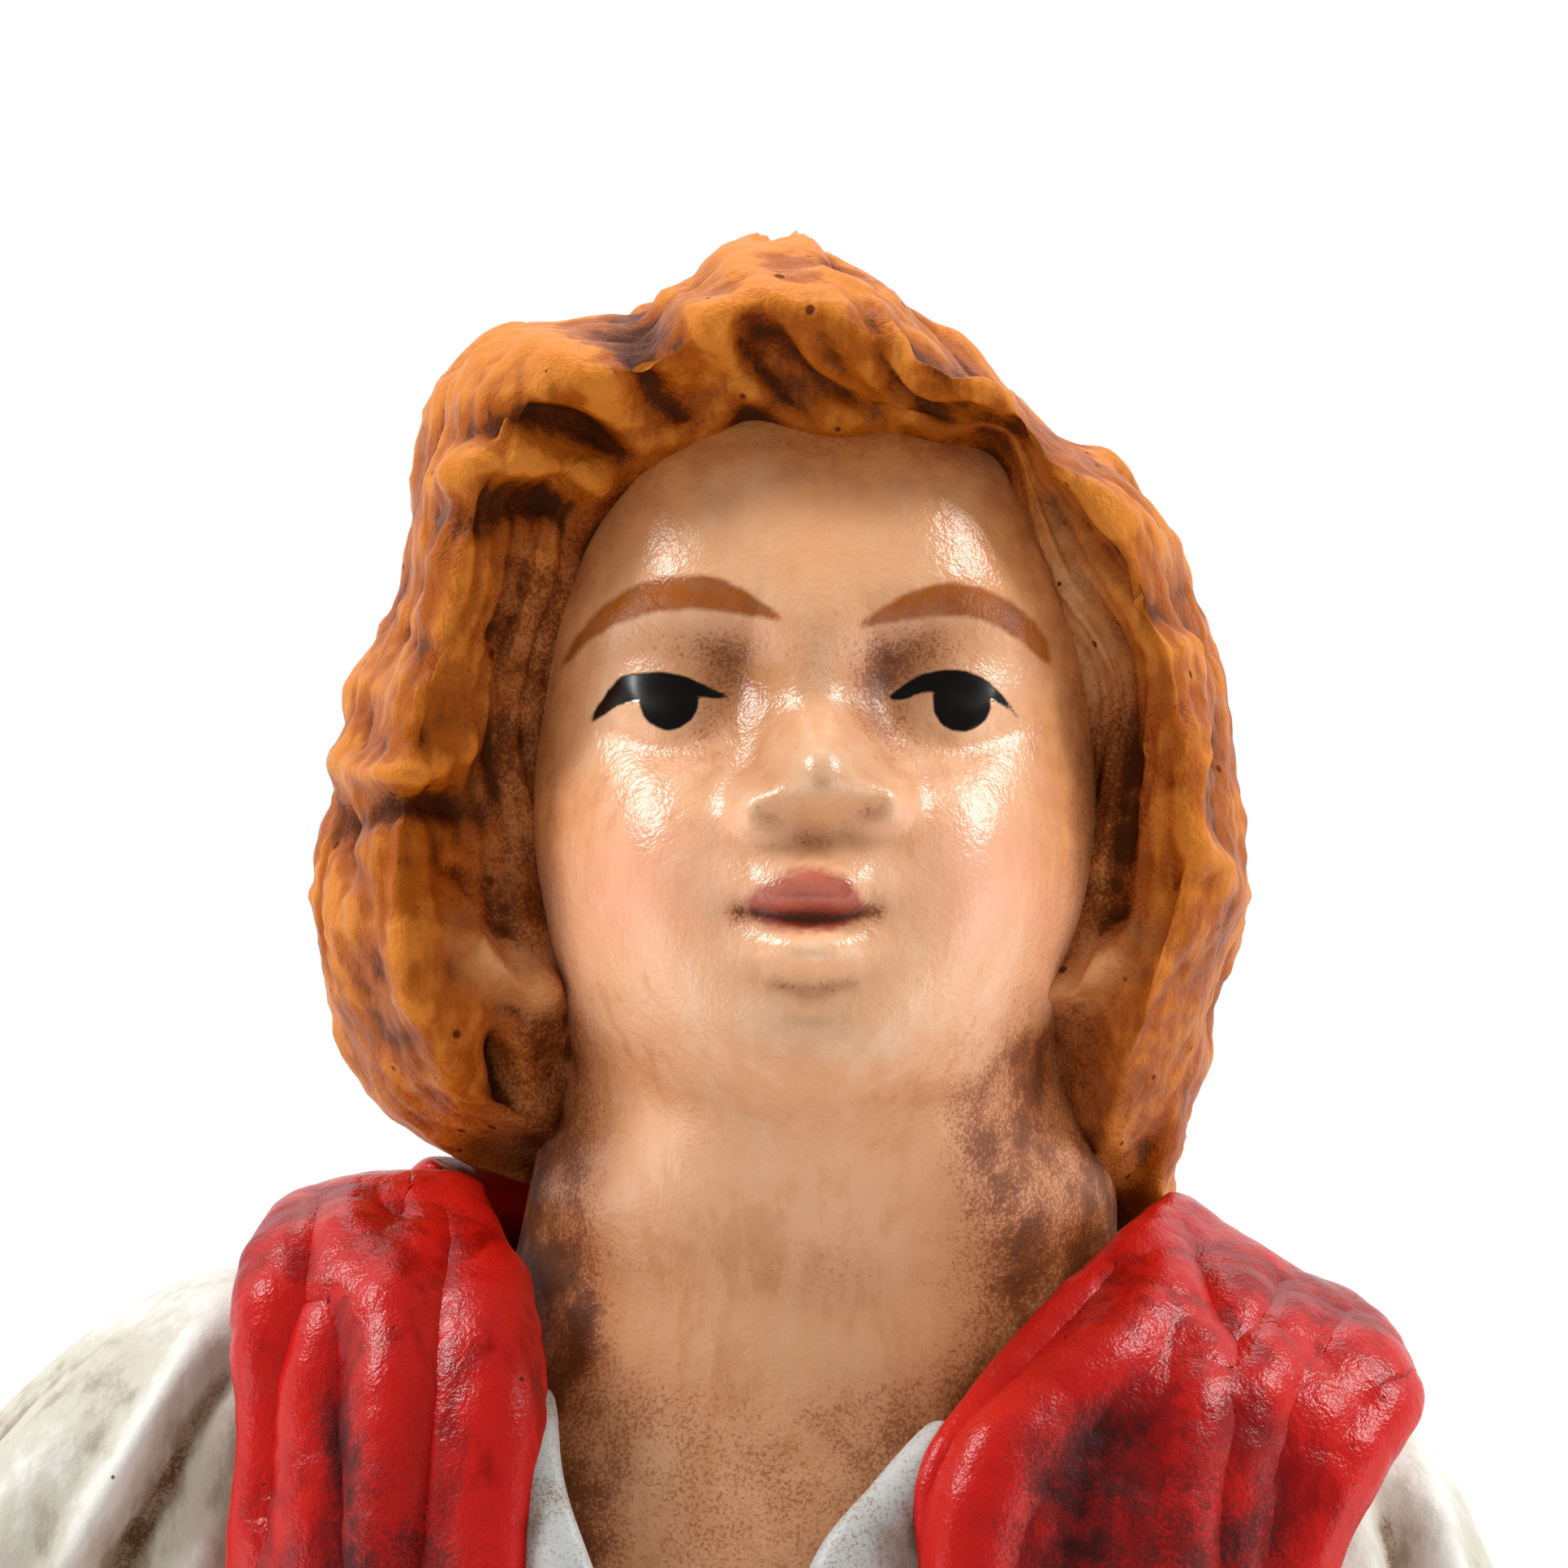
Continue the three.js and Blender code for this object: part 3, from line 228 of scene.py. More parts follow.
# %% Tubes along a path
def limb(path, radii, rows, columns, fold=None, flat=1.0, up=(0, 0, 1)):
    """A tube: rings across a smooth path, with a radius that follows the path and folds added to it.
    A ring's two directions come from the path's own direction and one fixed way up."""
    path = np.asarray(path, float)
    length = lengths(path)
    share = np.linspace(0, 1, rows)
    centre = curve(share * length[-1], length, path)
    radius = curve(share * length[-1], length, radii)
    ahead = np.gradient(centre, axis=0)
    ahead /= np.linalg.norm(ahead, axis=1, keepdims=True)
    side = np.cross(ahead, np.asarray(up, float))
    side /= np.linalg.norm(side, axis=1, keepdims=True)
    over = np.cross(side, ahead)
    turn = np.linspace(0, 2 * np.pi, columns, endpoint=False)
    t, a = np.meshgrid(share, turn, indexing="ij")
    reach = radius[:, None] + (fold(t, a) if fold else 0)
    across = side[:, None] * (np.cos(a) * reach)[..., None]
    return centre[:, None] + across + over[:, None] * (np.sin(a) * reach * flat)[..., None]


def ellipsoid(at, size, turn=0.0, rows=26, columns=36):
    """A ball with three half sizes: circles whose radius is a sine and height a cosine, turned about the
    vertical."""
    v = np.linspace(0.04, np.pi - 0.04, rows)[:, None]
    u = np.linspace(0, 2 * np.pi, columns, endpoint=False)[None]
    x = size[0] * np.sin(v) * np.cos(u)
    y = size[1] * np.sin(v) * np.sin(u)
    z = size[2] * -np.cos(v) + 0 * u
    c, s = np.cos(turn), np.sin(turn)
    return np.stack([x * c - y * s, x * s + y * c, z], -1) + np.asarray(at, float)


# %% Melting forms together
def pressing(forms, voxel, smoothing=6):
    """One skin round several closed forms: their volume is resampled in small cubes, and the steps are
    smoothed."""
    vertices = []
    faces = []
    count = 0
    for rings in forms:
        points, cells = tube(rings)
        vertices.append(points)
        faces += [[count + i for i in cell] for cell in cells]
        count += len(points)
    mesh = bpy.data.meshes.new("forms")
    mesh.from_pydata(np.vstack(vertices), [], faces)
    forms_object = bpy.data.objects.new("forms", mesh)
    bpy.context.scene.collection.objects.link(forms_object)
    melt = forms_object.modifiers.new("melt", "REMESH")
    melt.mode = "VOXEL"
    melt.voxel_size = voxel
    ease = forms_object.modifiers.new("ease", "SMOOTH")
    ease.iterations = smoothing
    ease.factor = 0.5
    bpy.context.view_layer.update()
    melted = forms_object.evaluated_get(bpy.context.evaluated_depsgraph_get()).to_mesh()
    points = np.empty(len(melted.vertices) * 3)
    melted.vertices.foreach_get("co", points)
    cells = [list(p.vertices) for p in melted.polygons]
    forms_object.to_mesh_clear()
    bpy.data.objects.remove(forms_object)
    bpy.data.meshes.remove(mesh)
    return points.reshape(-1, 3), cells


# %% A finished piece
def hollows(mesh, reach):
    """How deep each vertex lies below its surroundings, in mm: every vertex moves to the mean of its
    neighbours, again and again, and the way it has moved is read along its normal."""
    count = len(mesh.vertices)
    points = np.empty(count * 3)
    mesh.vertices.foreach_get("co", points)
    points = points.reshape(-1, 3) / MM
    normal = np.empty(count * 3)
    mesh.vertices.foreach_get("normal", normal)
    edges = np.empty(len(mesh.edges) * 2, int)
    mesh.edges.foreach_get("vertices", edges)
    a, b = edges.reshape(-1, 2).T
    neighbours = np.bincount(a, minlength=count) + np.bincount(b, minlength=count)
    step = np.linalg.norm(points[a] - points[b], axis=1).mean()
    smooth = points.copy()
    for _ in range(int(np.clip(2 * (reach / step) ** 2, 6, 200))):
        for k in range(3):
            total = np.bincount(a, smooth[b, k], count) + np.bincount(b, smooth[a, k], count)
            smooth[:, k] = total / np.maximum(neighbours, 1)
    return ((smooth - points) * normal.reshape(-1, 3)).sum(axis=1)


def add_mark(mesh, name, values):
    """Stores one number for each vertex, for the paint to read."""
    mark = mesh.attributes.new(name, "FLOAT", "POINT")
    mark.data.foreach_set("value", np.asarray(values, np.float32))


def add_piece(name, skin, material, slot, nodes, body="figure", reach=0.9, **marks):
    """Makes a piece of the figure from a skin, turns its faces outwards, stores its marks and fits it to
    the frame."""
    vertices, faces = skin
    mesh = bpy.data.meshes.new(name)
    mesh.from_pydata(vertices * MM, [], faces)
    mesh.calc_loop_triangles()
    corners = np.empty(len(mesh.loop_triangles) * 3, int)
    mesh.loop_triangles.foreach_get("vertices", corners)
    p, q, r = vertices[corners.reshape(-1, 3)].transpose(1, 0, 2)
    if np.einsum("ij,ij->", p, np.cross(q, r)) < 0:
        mesh.flip_normals()
    mesh.shade_smooth()
    add_mark(mesh, "hollow", hollows(mesh, reach))
    marks.setdefault("grime", np.zeros(len(vertices)))
    for label, values in marks.items():
        add_mark(mesh, label, np.resize(values, len(vertices)))
    mesh.materials.append(material)
    piece = bpy.data.objects.new(name, mesh)
    bpy.context.scene.collection.objects.link(piece)
    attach(piece, body)
    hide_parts(*nodes)
    print(f"{name}: {len(corners) // 3} triangles")
    return piece


# %% [markdown]
# ## Paint
# The figure is painted in a few thin coats, toned with a brown wash that dries into speckles in the
# hollows, and varnished. The clay under it is gritty and has small air pinholes. Three node groups hold
# these effects, and each paint places them with its own colours. All patterns are in millimetres on
# Object coordinates.


# %% Node helpers
def fill(socket, value):
    """Gives a socket a value, or a link from another socket."""
    if isinstance(value, bpy.types.NodeSocket):
        socket.id_data.links.new(value, socket)
    else:
        socket.default_value = value


def fill_named(made, **sockets):
    """Fills the named sockets of a node. An underscore in a name is a space."""
    for name, value in sockets.items():
        fill(made.inputs[name.replace("_", " ")], value)


def node(tree, kind, settings=None, **sockets):
    """Adds a shader node, sets it up and fills its named sockets."""
    made = tree.nodes.new("ShaderNode" + kind)
    for key, value in (settings or {}).items():
        setattr(made, key, value)
    fill_named(made, **sockets)
    return made


def calc(tree, operation, *values):
    """One Math node: an operation on values or links."""
    made = node(tree, "Math", {"operation": operation})
    for socket, value in zip(made.inputs, values):
        fill(socket, value)
    return made.outputs[0]


def times(tree, first, second):
    """One value times another."""
    return calc(tree, "MULTIPLY", first, second)


def sum_of(tree, *terms):
    """Values added up, each times its share."""
    total = times(tree, *terms[0])
    for value, share in terms[1:]:
        total = calc(tree, "MULTIPLY_ADD", value, share, total)
    return total


def blend(tree, share, first, second, kind="MIX"):
    """Mixes two colours by a share from 0 to 1, or lays the second over the first as a clear glaze."""
    made = node(tree, "Mix", {"data_type": "RGBA", "blend_type": kind})
    for index, value in ((0, share), (6, first), (7, second)):
        fill(made.inputs[index], value)
    return made.outputs[2]


def mix_value(tree, share, first, second):
    """Mixes two numbers by a share from 0 to 1."""
    return node(tree, "Mix", {"data_type": "FLOAT"}, Factor=share, A=first, B=second).outputs["Result"]


def ramp(tree, value, low, high, start=0.0, end=1.0):
    """Runs smoothly from start, where the value is low, to end, where it is high."""
    made = node(tree, "MapRange", {"interpolation_type": "SMOOTHSTEP"}, Value=value,
                From_Min=low, From_Max=high, To_Min=start, To_Max=end)
    return made.outputs["Result"]


def mark_of(tree, name):
    """The number that a piece stores for its vertices under this name."""
    return node(tree, "Attribute", {"attribute_name": name}).outputs["Fac"]


def millimetres(tree, stretch=(1, 1, 1)):
    """Object coordinates in millimetres, stretched where a pattern runs one way."""
    place = node(tree, "TexCoord").outputs["Object"]
    scale = [1 / MM * s for s in stretch]
    return node(tree, "Mapping", Vector=place, Scale=scale).outputs["Vector"]


def noise(tree, place, scale, detail=4.0, roughness=0.6):
    """Cloudy noise from 0 to 1, with about this many clouds to a millimetre, spread to use the whole
    range."""
    made = node(tree, "TexNoise", Vector=place, Scale=scale, Detail=detail, Roughness=roughness)
    return ramp(tree, made.outputs["Fac"], 0.28, 0.72)


def colour(red, green, blue):
    """A colour as it is read off a screen, 0 to 255, turned into the linear light that shaders use."""
    screen = np.array([red, green, blue]) / 255
    linear = np.where(screen <= 0.04045, screen / 12.92, ((screen + 0.055) / 1.055) ** 2.4)
    return (*linear.tolist(), 1.0)


def new_group(name, inputs, outputs):
    """An empty node group with named sockets, and its two end nodes."""
    tree = bpy.data.node_groups.new(name, "ShaderNodeTree")
    for socket, kind, value in inputs:
        made = tree.interface.new_socket(socket, in_out="INPUT", socket_type="NodeSocket" + kind)
        made.default_value = value
    for socket, kind in outputs:
        tree.interface.new_socket(socket, in_out="OUTPUT", socket_type="NodeSocket" + kind)
    return tree, tree.nodes.new("NodeGroupInput").outputs, tree.nodes.new("NodeGroupOutput").inputs


def place_group(tree, group, **sockets):
    """Places a node group in a material and fills its sockets."""
    return node(tree, "Group", {"node_tree": group}, **sockets).outputs


def mottled(tree, scale, first, second, detail=4.0):
    """Two colours in clouds, about this many to a millimetre."""
    return blend(tree, noise(tree, millimetres(tree), scale, detail), colour(*first), colour(*second))


def tint(tree, paint, mark, share, over):
    """Lays a colour over the paint where the piece has a mark, as much as the mark times a share."""
    return blend(tree, times(tree, mark_of(tree, mark), share), paint, over)


BROWN = colour(52, 26, 10)  # the toning wash where it lies thick
AMBER = colour(212, 150, 66)  # the same wash where it is thin and clear
GREY = (0.5, 0.5, 0.5, 1.0)

# %% Clay grain
tree, given, result = new_group(
    "clay grain", [("Pinholes", "Float", 0.2)], [("Height", "Float"), ("Pit", "Float")])
place = millimetres(tree)
grit = noise(tree, place, 2.6, 3.0, 0.6)
dust = noise(tree, place, 9.0, 1.0)
cells = node(tree, "TexVoronoi", Vector=place, Scale=1.15)
chance = node(tree, "SeparateColor", Color=cells.outputs["Color"]).outputs["Red"]
size = times(tree, ramp(tree, chance, 0.55, 1.0), given["Pinholes"])
pit = ramp(tree, cells.outputs["Distance"], times(tree, size, 0.35), times(tree, size, 0.2))
pit = times(tree, pit, calc(tree, "GREATER_THAN", size, 0.05))
fill(result["Height"], sum_of(tree, (grit, 0.6), (dust, 0.25), (pit, -1.4)))
fill(result["Pit"], pit)
clay_grain = tree
print("group:", tree.name)

# %% Brushed paint
tree, given, result = new_group(
    "brushed paint",
    [("Light", "Color", GREY), ("Middle", "Color", GREY), ("Deep", "Color", GREY), ("Hollow", "Float", 0.0)],
    [("Colour", "Color")])
place = millimetres(tree)
cloud = noise(tree, place, 0.28, 3.0)
streak = noise(tree, millimetres(tree, (1, 1, 0.3)), 1.3, 5.0, 0.65)
tone = sum_of(tree, (cloud, 0.55), (streak, 0.45), (given["Hollow"], -1.6))
low = blend(tree, ramp(tree, tone, 0.05, 0.5), given["Deep"], given["Middle"])
fill(result["Colour"], blend(tree, ramp(tree, tone, 0.5, 1.05), low, given["Light"]))
brushed_paint = tree
print("group:", tree.name)

# %% Brown wash
tree, given, result = new_group(
    "brown wash",
    [("Colour", "Color", GREY), ("Wash", "Color", BROWN), ("Amount", "Float", 0.5), ("Hollow", "Float", 0.0),
     ("Grime", "Float", 0.0), ("Pit", "Float", 0.0)],
    [("Colour", "Color"), ("Cover", "Float")])
place = millimetres(tree)
speck = noise(tree, place, 9.5, 5.0, 0.7)
patch = noise(tree, place, 0.55, 3.0)
sink = ramp(tree, given["Hollow"], 0.0, 0.32)
# The cover is the wash in the hollows, plus each piece's own mark, which holds both brown patina and painted
# shade.
cover = times(tree, calc(tree, "ADD", sink, given["Grime"]), given["Amount"])
cover = times(tree, cover, ramp(tree, patch, 0.0, 1.0, 0.65, 1.25))
edge = calc(tree, "SUBTRACT", 1.0, cover)
speckles = ramp(tree, speck, calc(tree, "SUBTRACT", edge, 0.22), calc(tree, "ADD", edge, 0.22))
film = calc(tree, "MINIMUM", sum_of(tree, (speckles, 0.36), (cover, 0.62)), 0.94)
film = calc(tree, "MAXIMUM", film, times(tree, given["Pit"], 0.85))
glazed = blend(tree, film, given["Colour"], AMBER, "MULTIPLY")
fill(result["Colour"], blend(tree, times(tree, film, film), glazed, given["Wash"]))
fill(result["Cover"], film)
brown_wash = tree
print("group:", tree.name)


# %% Varnished paint on clay
def finish_paint(tree, paint, amount, shine, pinholes, wash=BROWN, relief=0.15, varnish=0.5):
    """Washes a paint colour, then varnishes it: satin where it is clean, duller where the brown has
    dried. The colour, the roughness and the bump are handed back for paint that lies over it."""
    grain = place_group(tree, clay_grain, Pinholes=pinholes)
    washed = place_group(tree, brown_wash, Colour=paint, Wash=wash, Amount=amount,
                         Hollow=mark_of(tree, "hollow"), Grime=mark_of(tree, "grime"), Pit=grain["Pit"])
    dull = ramp(tree, washed["Cover"], 0.0, 1.0, shine, min(shine + 0.3, 1.0))
    bump = node(tree, "Bump", Height=grain["Height"], Strength=relief, Distance=0.12 * MM)
    fill_named(tree.nodes["Principled BSDF"], Base_Color=washed["Colour"], Roughness=dull,
               Normal=bump.outputs["Normal"], Specular_IOR_Level=varnish)
    return washed["Colour"], dull, bump


def new_material(name):
    """A material with its Principled shader, and its tree."""
    material = bpy.data.materials.new(name)
    material.use_nodes = True
    return material, material.node_tree


def three_tones(tree, light, middle, deep):
    """Brushed paint in three tones: the deepest in the hollows and the lightest on the ridges."""
    return place_group(tree, brushed_paint, Light=colour(*light), Middle=colour(*middle),
                       Deep=colour(*deep), Hollow=mark_of(tree, "hollow"))["Colour"]


def clay_paint(name, tones, amount=0.6, shine=0.42, pinholes=0.25, wash=BROWN, relief=0.15, varnish=0.4):
    """One colour of paint in three tones, with its wash and varnish."""
    material, tree = new_material(name)
    finish_paint(tree, three_tones(tree, *tones), amount, shine, pinholes, wash, relief, varnish)
    return material


red_paint = clay_paint("waistcoat red", [(200, 24, 18), (150, 7, 5), (84, 3, 2)], 0.9, 0.26,
                       pinholes=0.3, wash=colour(40, 5, 3), relief=0.25, varnish=0.26)
shirt_paint = clay_paint("shirt white", [(232, 230, 222), (206, 200, 184), (160, 146, 124)], 0.6, 0.5)
collar_paint = clay_paint("collar grey", [(196, 204, 206), (158, 156, 144), (112, 98, 78)], 0.75, 0.4)
sash_paint = clay_paint("sash blue", [(96, 116, 140), (62, 80, 104), (34, 46, 66)], 0.7, 0.45)
breeches_paint = clay_paint("breeches brown", [(142, 104, 70), (108, 74, 46), (70, 44, 26)], 0.7, 0.5)
stocking_paint = clay_paint("stocking cream", [(226, 212, 182), (200, 182, 148), (150, 128, 96)], 0.7, 0.5)
boot_paint = clay_paint("boot leather", [(104, 66, 40), (72, 42, 24), (40, 22, 12)], 0.7, 0.38)
ground_paint = clay_paint("ground green", [(136, 132, 82), (104, 98, 58), (72, 58, 36)], 0.8, 0.6,
                          pinholes=0.5, relief=0.6)
hand_paint = clay_paint("hand flesh", [(246, 190, 150), (228, 164, 120), (196, 126, 84)], 0.7, 0.38,
                        pinholes=0.15, wash=colour(74, 40, 18), relief=0.2)
print("nine paints, from", red_paint.name, "to", hand_paint.name)

# %% [markdown]
# ## Head, neck and breast
# On the real figure the head, the neck and the bare breast are one pressing, painted in flesh colour and
# varnished. It could be cut from a ball with a sculpting brush. Here it is a stack of rings: a profile
# for the front, one for the width and one for the back, each a curve of the height. The nose, eyes, lips
# and cheeks are strokes and dabs on the front of the rings, and the painted brows, lashes and lips are
# stored as distances to drawn outlines.

# %% Head profiles
# Height, front, middle, back, half width, sideways lean and pointedness of the rings, from the breast to
# the hairline.
HEAD_RINGS = np.array([
    (104.0, -8.6, 1.5, 7.8, 12.2, -1.6, 0.9),
    (108.0, -8.0, 1.5, 7.8, 12.0, -1.6, 0.9),
    (112.0, -7.2, 1.5, 7.8, 11.2, -1.6, 0.9),
    (115.0, -6.7, 1.5, 7.6, 9.4, -1.5, 0.9),
    (117.5, -6.5, 1.4, 7.4, 8.8, -0.5, 0.9),
    (120.0, -6.6, 1.2, 7.2, 8.3, 0.1, 0.94),
    (121.8, -7.3, 1.0, 7.0, 8.1, 0.3, 1.0),
    (123.2, -8.1, 0.7, 7.0, 7.8, 0.3, 1.35),
    (124.4, -9.1, 0.3, 7.2, 7.5, 0.2, 1.85),
    (125.4, -10.2, -0.1, 7.4, 7.2, 0.1, 1.95),
    (126.6, -10.8, -0.4, 7.6, 7.1, 0.0, 1.6),
    (128.0, -10.7, -0.5, 8.0, 7.3, 0.0, 1.2),
    (129.6, -10.3, -0.4, 8.6, 7.7, 0.1, 1.0),
    (131.4, -9.6, 0.0, 9.2, 8.0, 0.1, 0.93),
    (134.0, -8.6, 0.6, 10.0, 8.2, 0.1, 0.9),
    (136.4, -7.8, 1.2, 10.2, 8.2, 0.1, 0.88),
    (138.6, -7.1, 1.9, 10.0, 7.9, 0.1, 0.86),
    (140.6, -6.0, 2.6, 9.4, 7.3, 0.1, 0.8),
    (142.4, -4.8, 3.0, 8.4, 6.35, 0.0, 0.62),
    (143.6, -3.7, 3.2, 7.4, 5.2, -0.2, 0.6),
    (144.6, -1.9, 3.2, 6.4, 3.6, -0.4, 0.6),
])
EYE_LINE = 135.4  # height of the middle of the eyes
FACE_LOW = 123.5  # from here up the rings lie closer together
NECK_ROWS = 70
FACE_ROWS = 232
HEAD_COLUMNS = 330
ROUNDNESS = 0.88  # power of the sine across and of the cosine at the back


def head_grid():
    """Rings of the head: at each height an ellipse between the profiles, with its cosine raised to the
    pointedness, which squares the forehead and draws out the chin. Points crowd together on the face,
    where the paint needs them."""
    low, high = HEAD_RINGS[[0, -1], 0]
    z = np.concatenate([np.linspace(low, FACE_LOW, NECK_ROWS, endpoint=False),
                        np.linspace(FACE_LOW, high, FACE_ROWS)])
    front, middle, back, width, lean, point = curve(z, HEAD_RINGS[:, 0], HEAD_RINGS[:, 1:]).T[..., None]
    s = np.linspace(-1, 1, HEAD_COLUMNS, endpoint=False)
    turn = np.pi * (0.62 * s + 0.38 * s**3)
    x = lean + width * np.sign(np.sin(turn)) * np.abs(np.sin(turn)) ** ROUNDNESS
    depth = np.where(np.cos(turn) > 0, middle - front, back - middle)
    point = np.where(np.cos(turn) > 0, point, ROUNDNESS)
    y = middle - depth * np.sign(np.cos(turn)) * np.abs(np.cos(turn)) ** point
    return np.stack([x, y, z[:, None] + 0 * x], -1), soft_step(np.cos(turn), 0.05, 0.45)[None]


def face_relief(x, h):
    """How far the features stand out from the face, by place: x across, h above the eye line."""
    dabs = [
        ((0.1, 0.6), (1.5, 3.2), 0.75),  # bridge of the nose
        ((0.3, -1.8), (1.3, 1.15), 2.25, 1.3),  # its tip
        ((0.3, -2.9), (0.6, 0.7), 0.5),  # between the nostrils
        ((0.0, -5.6), (2.6, 2.4), 0.7),  # muzzle
        ((0.1, -4.0), (0.5, 0.7), -0.1),  # groove of the upper lip
        ((-0.05, -6.85), (1.35, 0.6), 0.65, 1.15),  # lower lip
        ((0, -8.9), (2.0, 1.3), 0.45),  # chin
        ((-3.4, 5.2), (2.6, 2.6), 0.25),  # forehead, two low bosses
        ((3.6, 5.2), (2.6, 2.6), 0.25),
    ]
    strokes = [
        (UPPER_LIP, 0.8, 0.45),
        (MOUTH_LINE, 0.35, -0.5),
        ([(-1.3, -7.5), (0, -7.75), (1.3, -7.5)], 0.6, -0.35),  # crease below the lips
    ]
    for wing, nostril in zip(NOSE_WINGS, NOSTRILS):
        dabs += [(wing, (0.9, 0.8), 1.15, 1.25), (nostril, (0.5, 0.36), -0.42)]
    for sign, eye in ((-1, -3.95), (1, 4.0)):
        dabs += [
            ((eye * 0.92, 0.5), (2.9, 1.9), -1.0),  # socket
            ((sign * 2.0, 0.5), (1.1, 1.4), -0.5),  # inner corner of the eye
            ((eye, 0.15), (1.9, 1.25), 0.7, 1.3),  # eyeball under its lids
            ((sign * 4.5, -4.4), (2.7, 2.6), 1.0),  # cheek
            ((sign * 4.6, -8.0), (2.4, 1.8), 0.45),  # jowl
            ((sign * 1.9 - 0.1, -5.75), (0.7, 0.6), -0.25),  # corner of the mouth
        ]
        strokes += [
            ([(eye - 1.7, -0.7), (eye, -1.35), (eye + 1.7, -0.6)], 0.5, -0.2),  # crease below the eye
            ([(sign * 1.4, 2.3), (sign * 3.6, 2.9), (sign * 6.2, 1.6)], 1.2, 0.4),  # brow bone
            ([(sign * 2.3, -3.2), (sign * 2.8, -4.6), (sign * 2.7, -6.2)], 1.2, -0.14),  # crease of the cheek
        ]
    return pressed(x, h, dabs, strokes)


print("rings that give the head its form:", len(HEAD_RINGS))

# %% Painted outlines of the face
UPPER_LIP = [(-1.6, -5.35), (-0.5, -5.1), (0.1, -5.15), (0.7, -5.1), (1.45, -5.4)]
NOSE_WINGS = [(-1.3, -2.95), (1.85, -2.75)]
NOSTRILS = [(-1.12, -3.15), (1.6, -2.95)]
MOUTH_LINE = [(-1.8, -5.72), (-1.1, -5.85), (0.04, -5.9), (1.1, -5.85), (1.54, -5.72)]
RIGHT_BROW = [
    (-6.8, 0.95), (-6.4, 1.74), (-5.9, 2.35), (-5.06, 2.97), (-4.1, 3.3), (-3.3, 3.37), (-2.64, 3.3),
    (-1.65, 2.86), (-0.86, 2.18), (-1.87, 2.29), (-3.2, 2.44), (-4.55, 2.29), (-5.79, 1.78),
]
LEFT_BROW = [
    (1.34, 2.02), (1.87, 2.46), (2.4, 2.79), (3.19, 3.08), (3.98, 3.17), (5.0, 2.9), (5.87, 2.29),
    (6.49, 1.45), (6.47, 1.03), (5.76, 1.52), (4.86, 2.07), (3.52, 2.27), (2.4, 2.13),
]
RIGHT_LASH = [
    (-5.98, -0.62), (-5.57, 0.22), (-5.17, 0.62), (-4.62, 0.73), (-4.0, 0.75), (-3.21, 0.55),
    (-2.64, 0.26), (-2.22, 0.11), (-2.53, 0.0), (-3.08, 0.04), (-3.87, -0.09), (-4.64, -0.04),
    (-5.24, -0.18), (-5.65, -0.44),
]
LEFT_LASH = [
    (2.07, 0.0), (2.4, 0.31), (2.86, 0.62), (3.63, 0.81), (4.53, 0.66), (5.1, 0.22), (5.63, -0.51),
    (5.21, -0.18), (4.88, 0.0), (4.07, -0.09), (3.21, 0.2), (2.4, -0.02),
]
IRISES = [(-3.87, -0.04), (4.07, -0.09)]
IRIS_RADIUS = 0.8
OUTSIDE = -9  # stands for far outside an outline, at the back of the head
JAW_LINE = [(-6.8, -8.2), (-5.3, -9.5), (-3.1, -10.4), (0, -10.8), (2.6, -10.5), (5.1, -9.5)]
LIPS = [
    (-1.87, -5.61), (-1.41, -4.95), (-0.51, -4.6), (0.15, -4.55), (0.84, -4.73), (1.32, -5.24),
    (1.61, -5.72), (1.1, -6.07), (0.04, -6.31), (-1.1, -6.16), (-1.65, -5.9),
]
# The face and neck as they show between the hair, from the middle of the head: across and up.
FACE_OPENING = [
    (-2.9, 10.7), (-4.4, 10.05), (-5.7, 9.2), (-6.5, 8.1), (-6.85, 6.8), (-7.3, 5.4), (-7.55, 3.7),
    (-7.65, 0.4), (-7.4, -3.1), (-6.8, -4.7), (-6.6, -6.2), (-6.5, -8.4), (-6.5, -10.6), (-6.6, -13.7),
    (5.2, -13.7), (4.7, -10.6), (4.6, -8.4), (5.3, -6.4), (6.0, -4.8), (6.9, -3.1), (7.5, -0.9),
    (7.85, 1.7), (7.6, 3.9), (6.6, 6.65), (5.9, 8.9), (5.3, 10.5), (3.5, 10.6), (1.76, 10.8), (0.7, 10.6),
    (-0.4, 10.9), (-1.8, 11.4),
]
# Dabs and strokes of paint on the face: place or path, size or width, strength.
BLUSH = [((-4.5, -5.0), (2.3, 2.0), 0.8), ((4.6, -4.9), (2.3, 2.0), 0.8)]
NOSE_SIDE = [([(-1.7, 1.6), (-1.4, -0.4), (-1.9, -1.7)], 0.9, 0.8)]
# Painted shade in olive brown, where the face lies in shade: under the nose, round the lips, on the chin and
# in the eye sockets.
SHADED = [
    ((0.2, -2.3), (2.2, 1.1), 0.75),  # nose
    ((0.2, -3.9), (1.5, 0.6), 0.5),
    ((0, -6.6), (3.3, 1.6), 0.35),  # round the lips, but not on the lower one
    ((-0.1, -6.8), (1.5, 0.6), -0.6),
    ((0, -8.9), (2.6, 1.2), 0.6),  # chin
    ((-2.6, 0.5), (2.2, 1.5), 1.0),  # sockets
    ((2.5, 0.5), (2.2, 1.5), 1.0),
]
GRIMY_SPOTS = [
    ((-3.1, 1.4), (2.0, 0.8), 0.5),  # over the eyes
    ((2.6, 1.35), (1.6, 0.95), 0.68),
    ((-2.0, -5.85), (0.35, 0.4), 0.7),  # corners of the mouth
    ((1.7, -5.75), (0.3, 0.5), 0.7),
    ((0.1, 1.0), (1.4, 1.8), 0.15),  # bridge of the nose
    (NOSTRILS[0], (0.6, 0.4), 0.35),
    (NOSTRILS[1], (0.6, 0.4), 0.3),
]
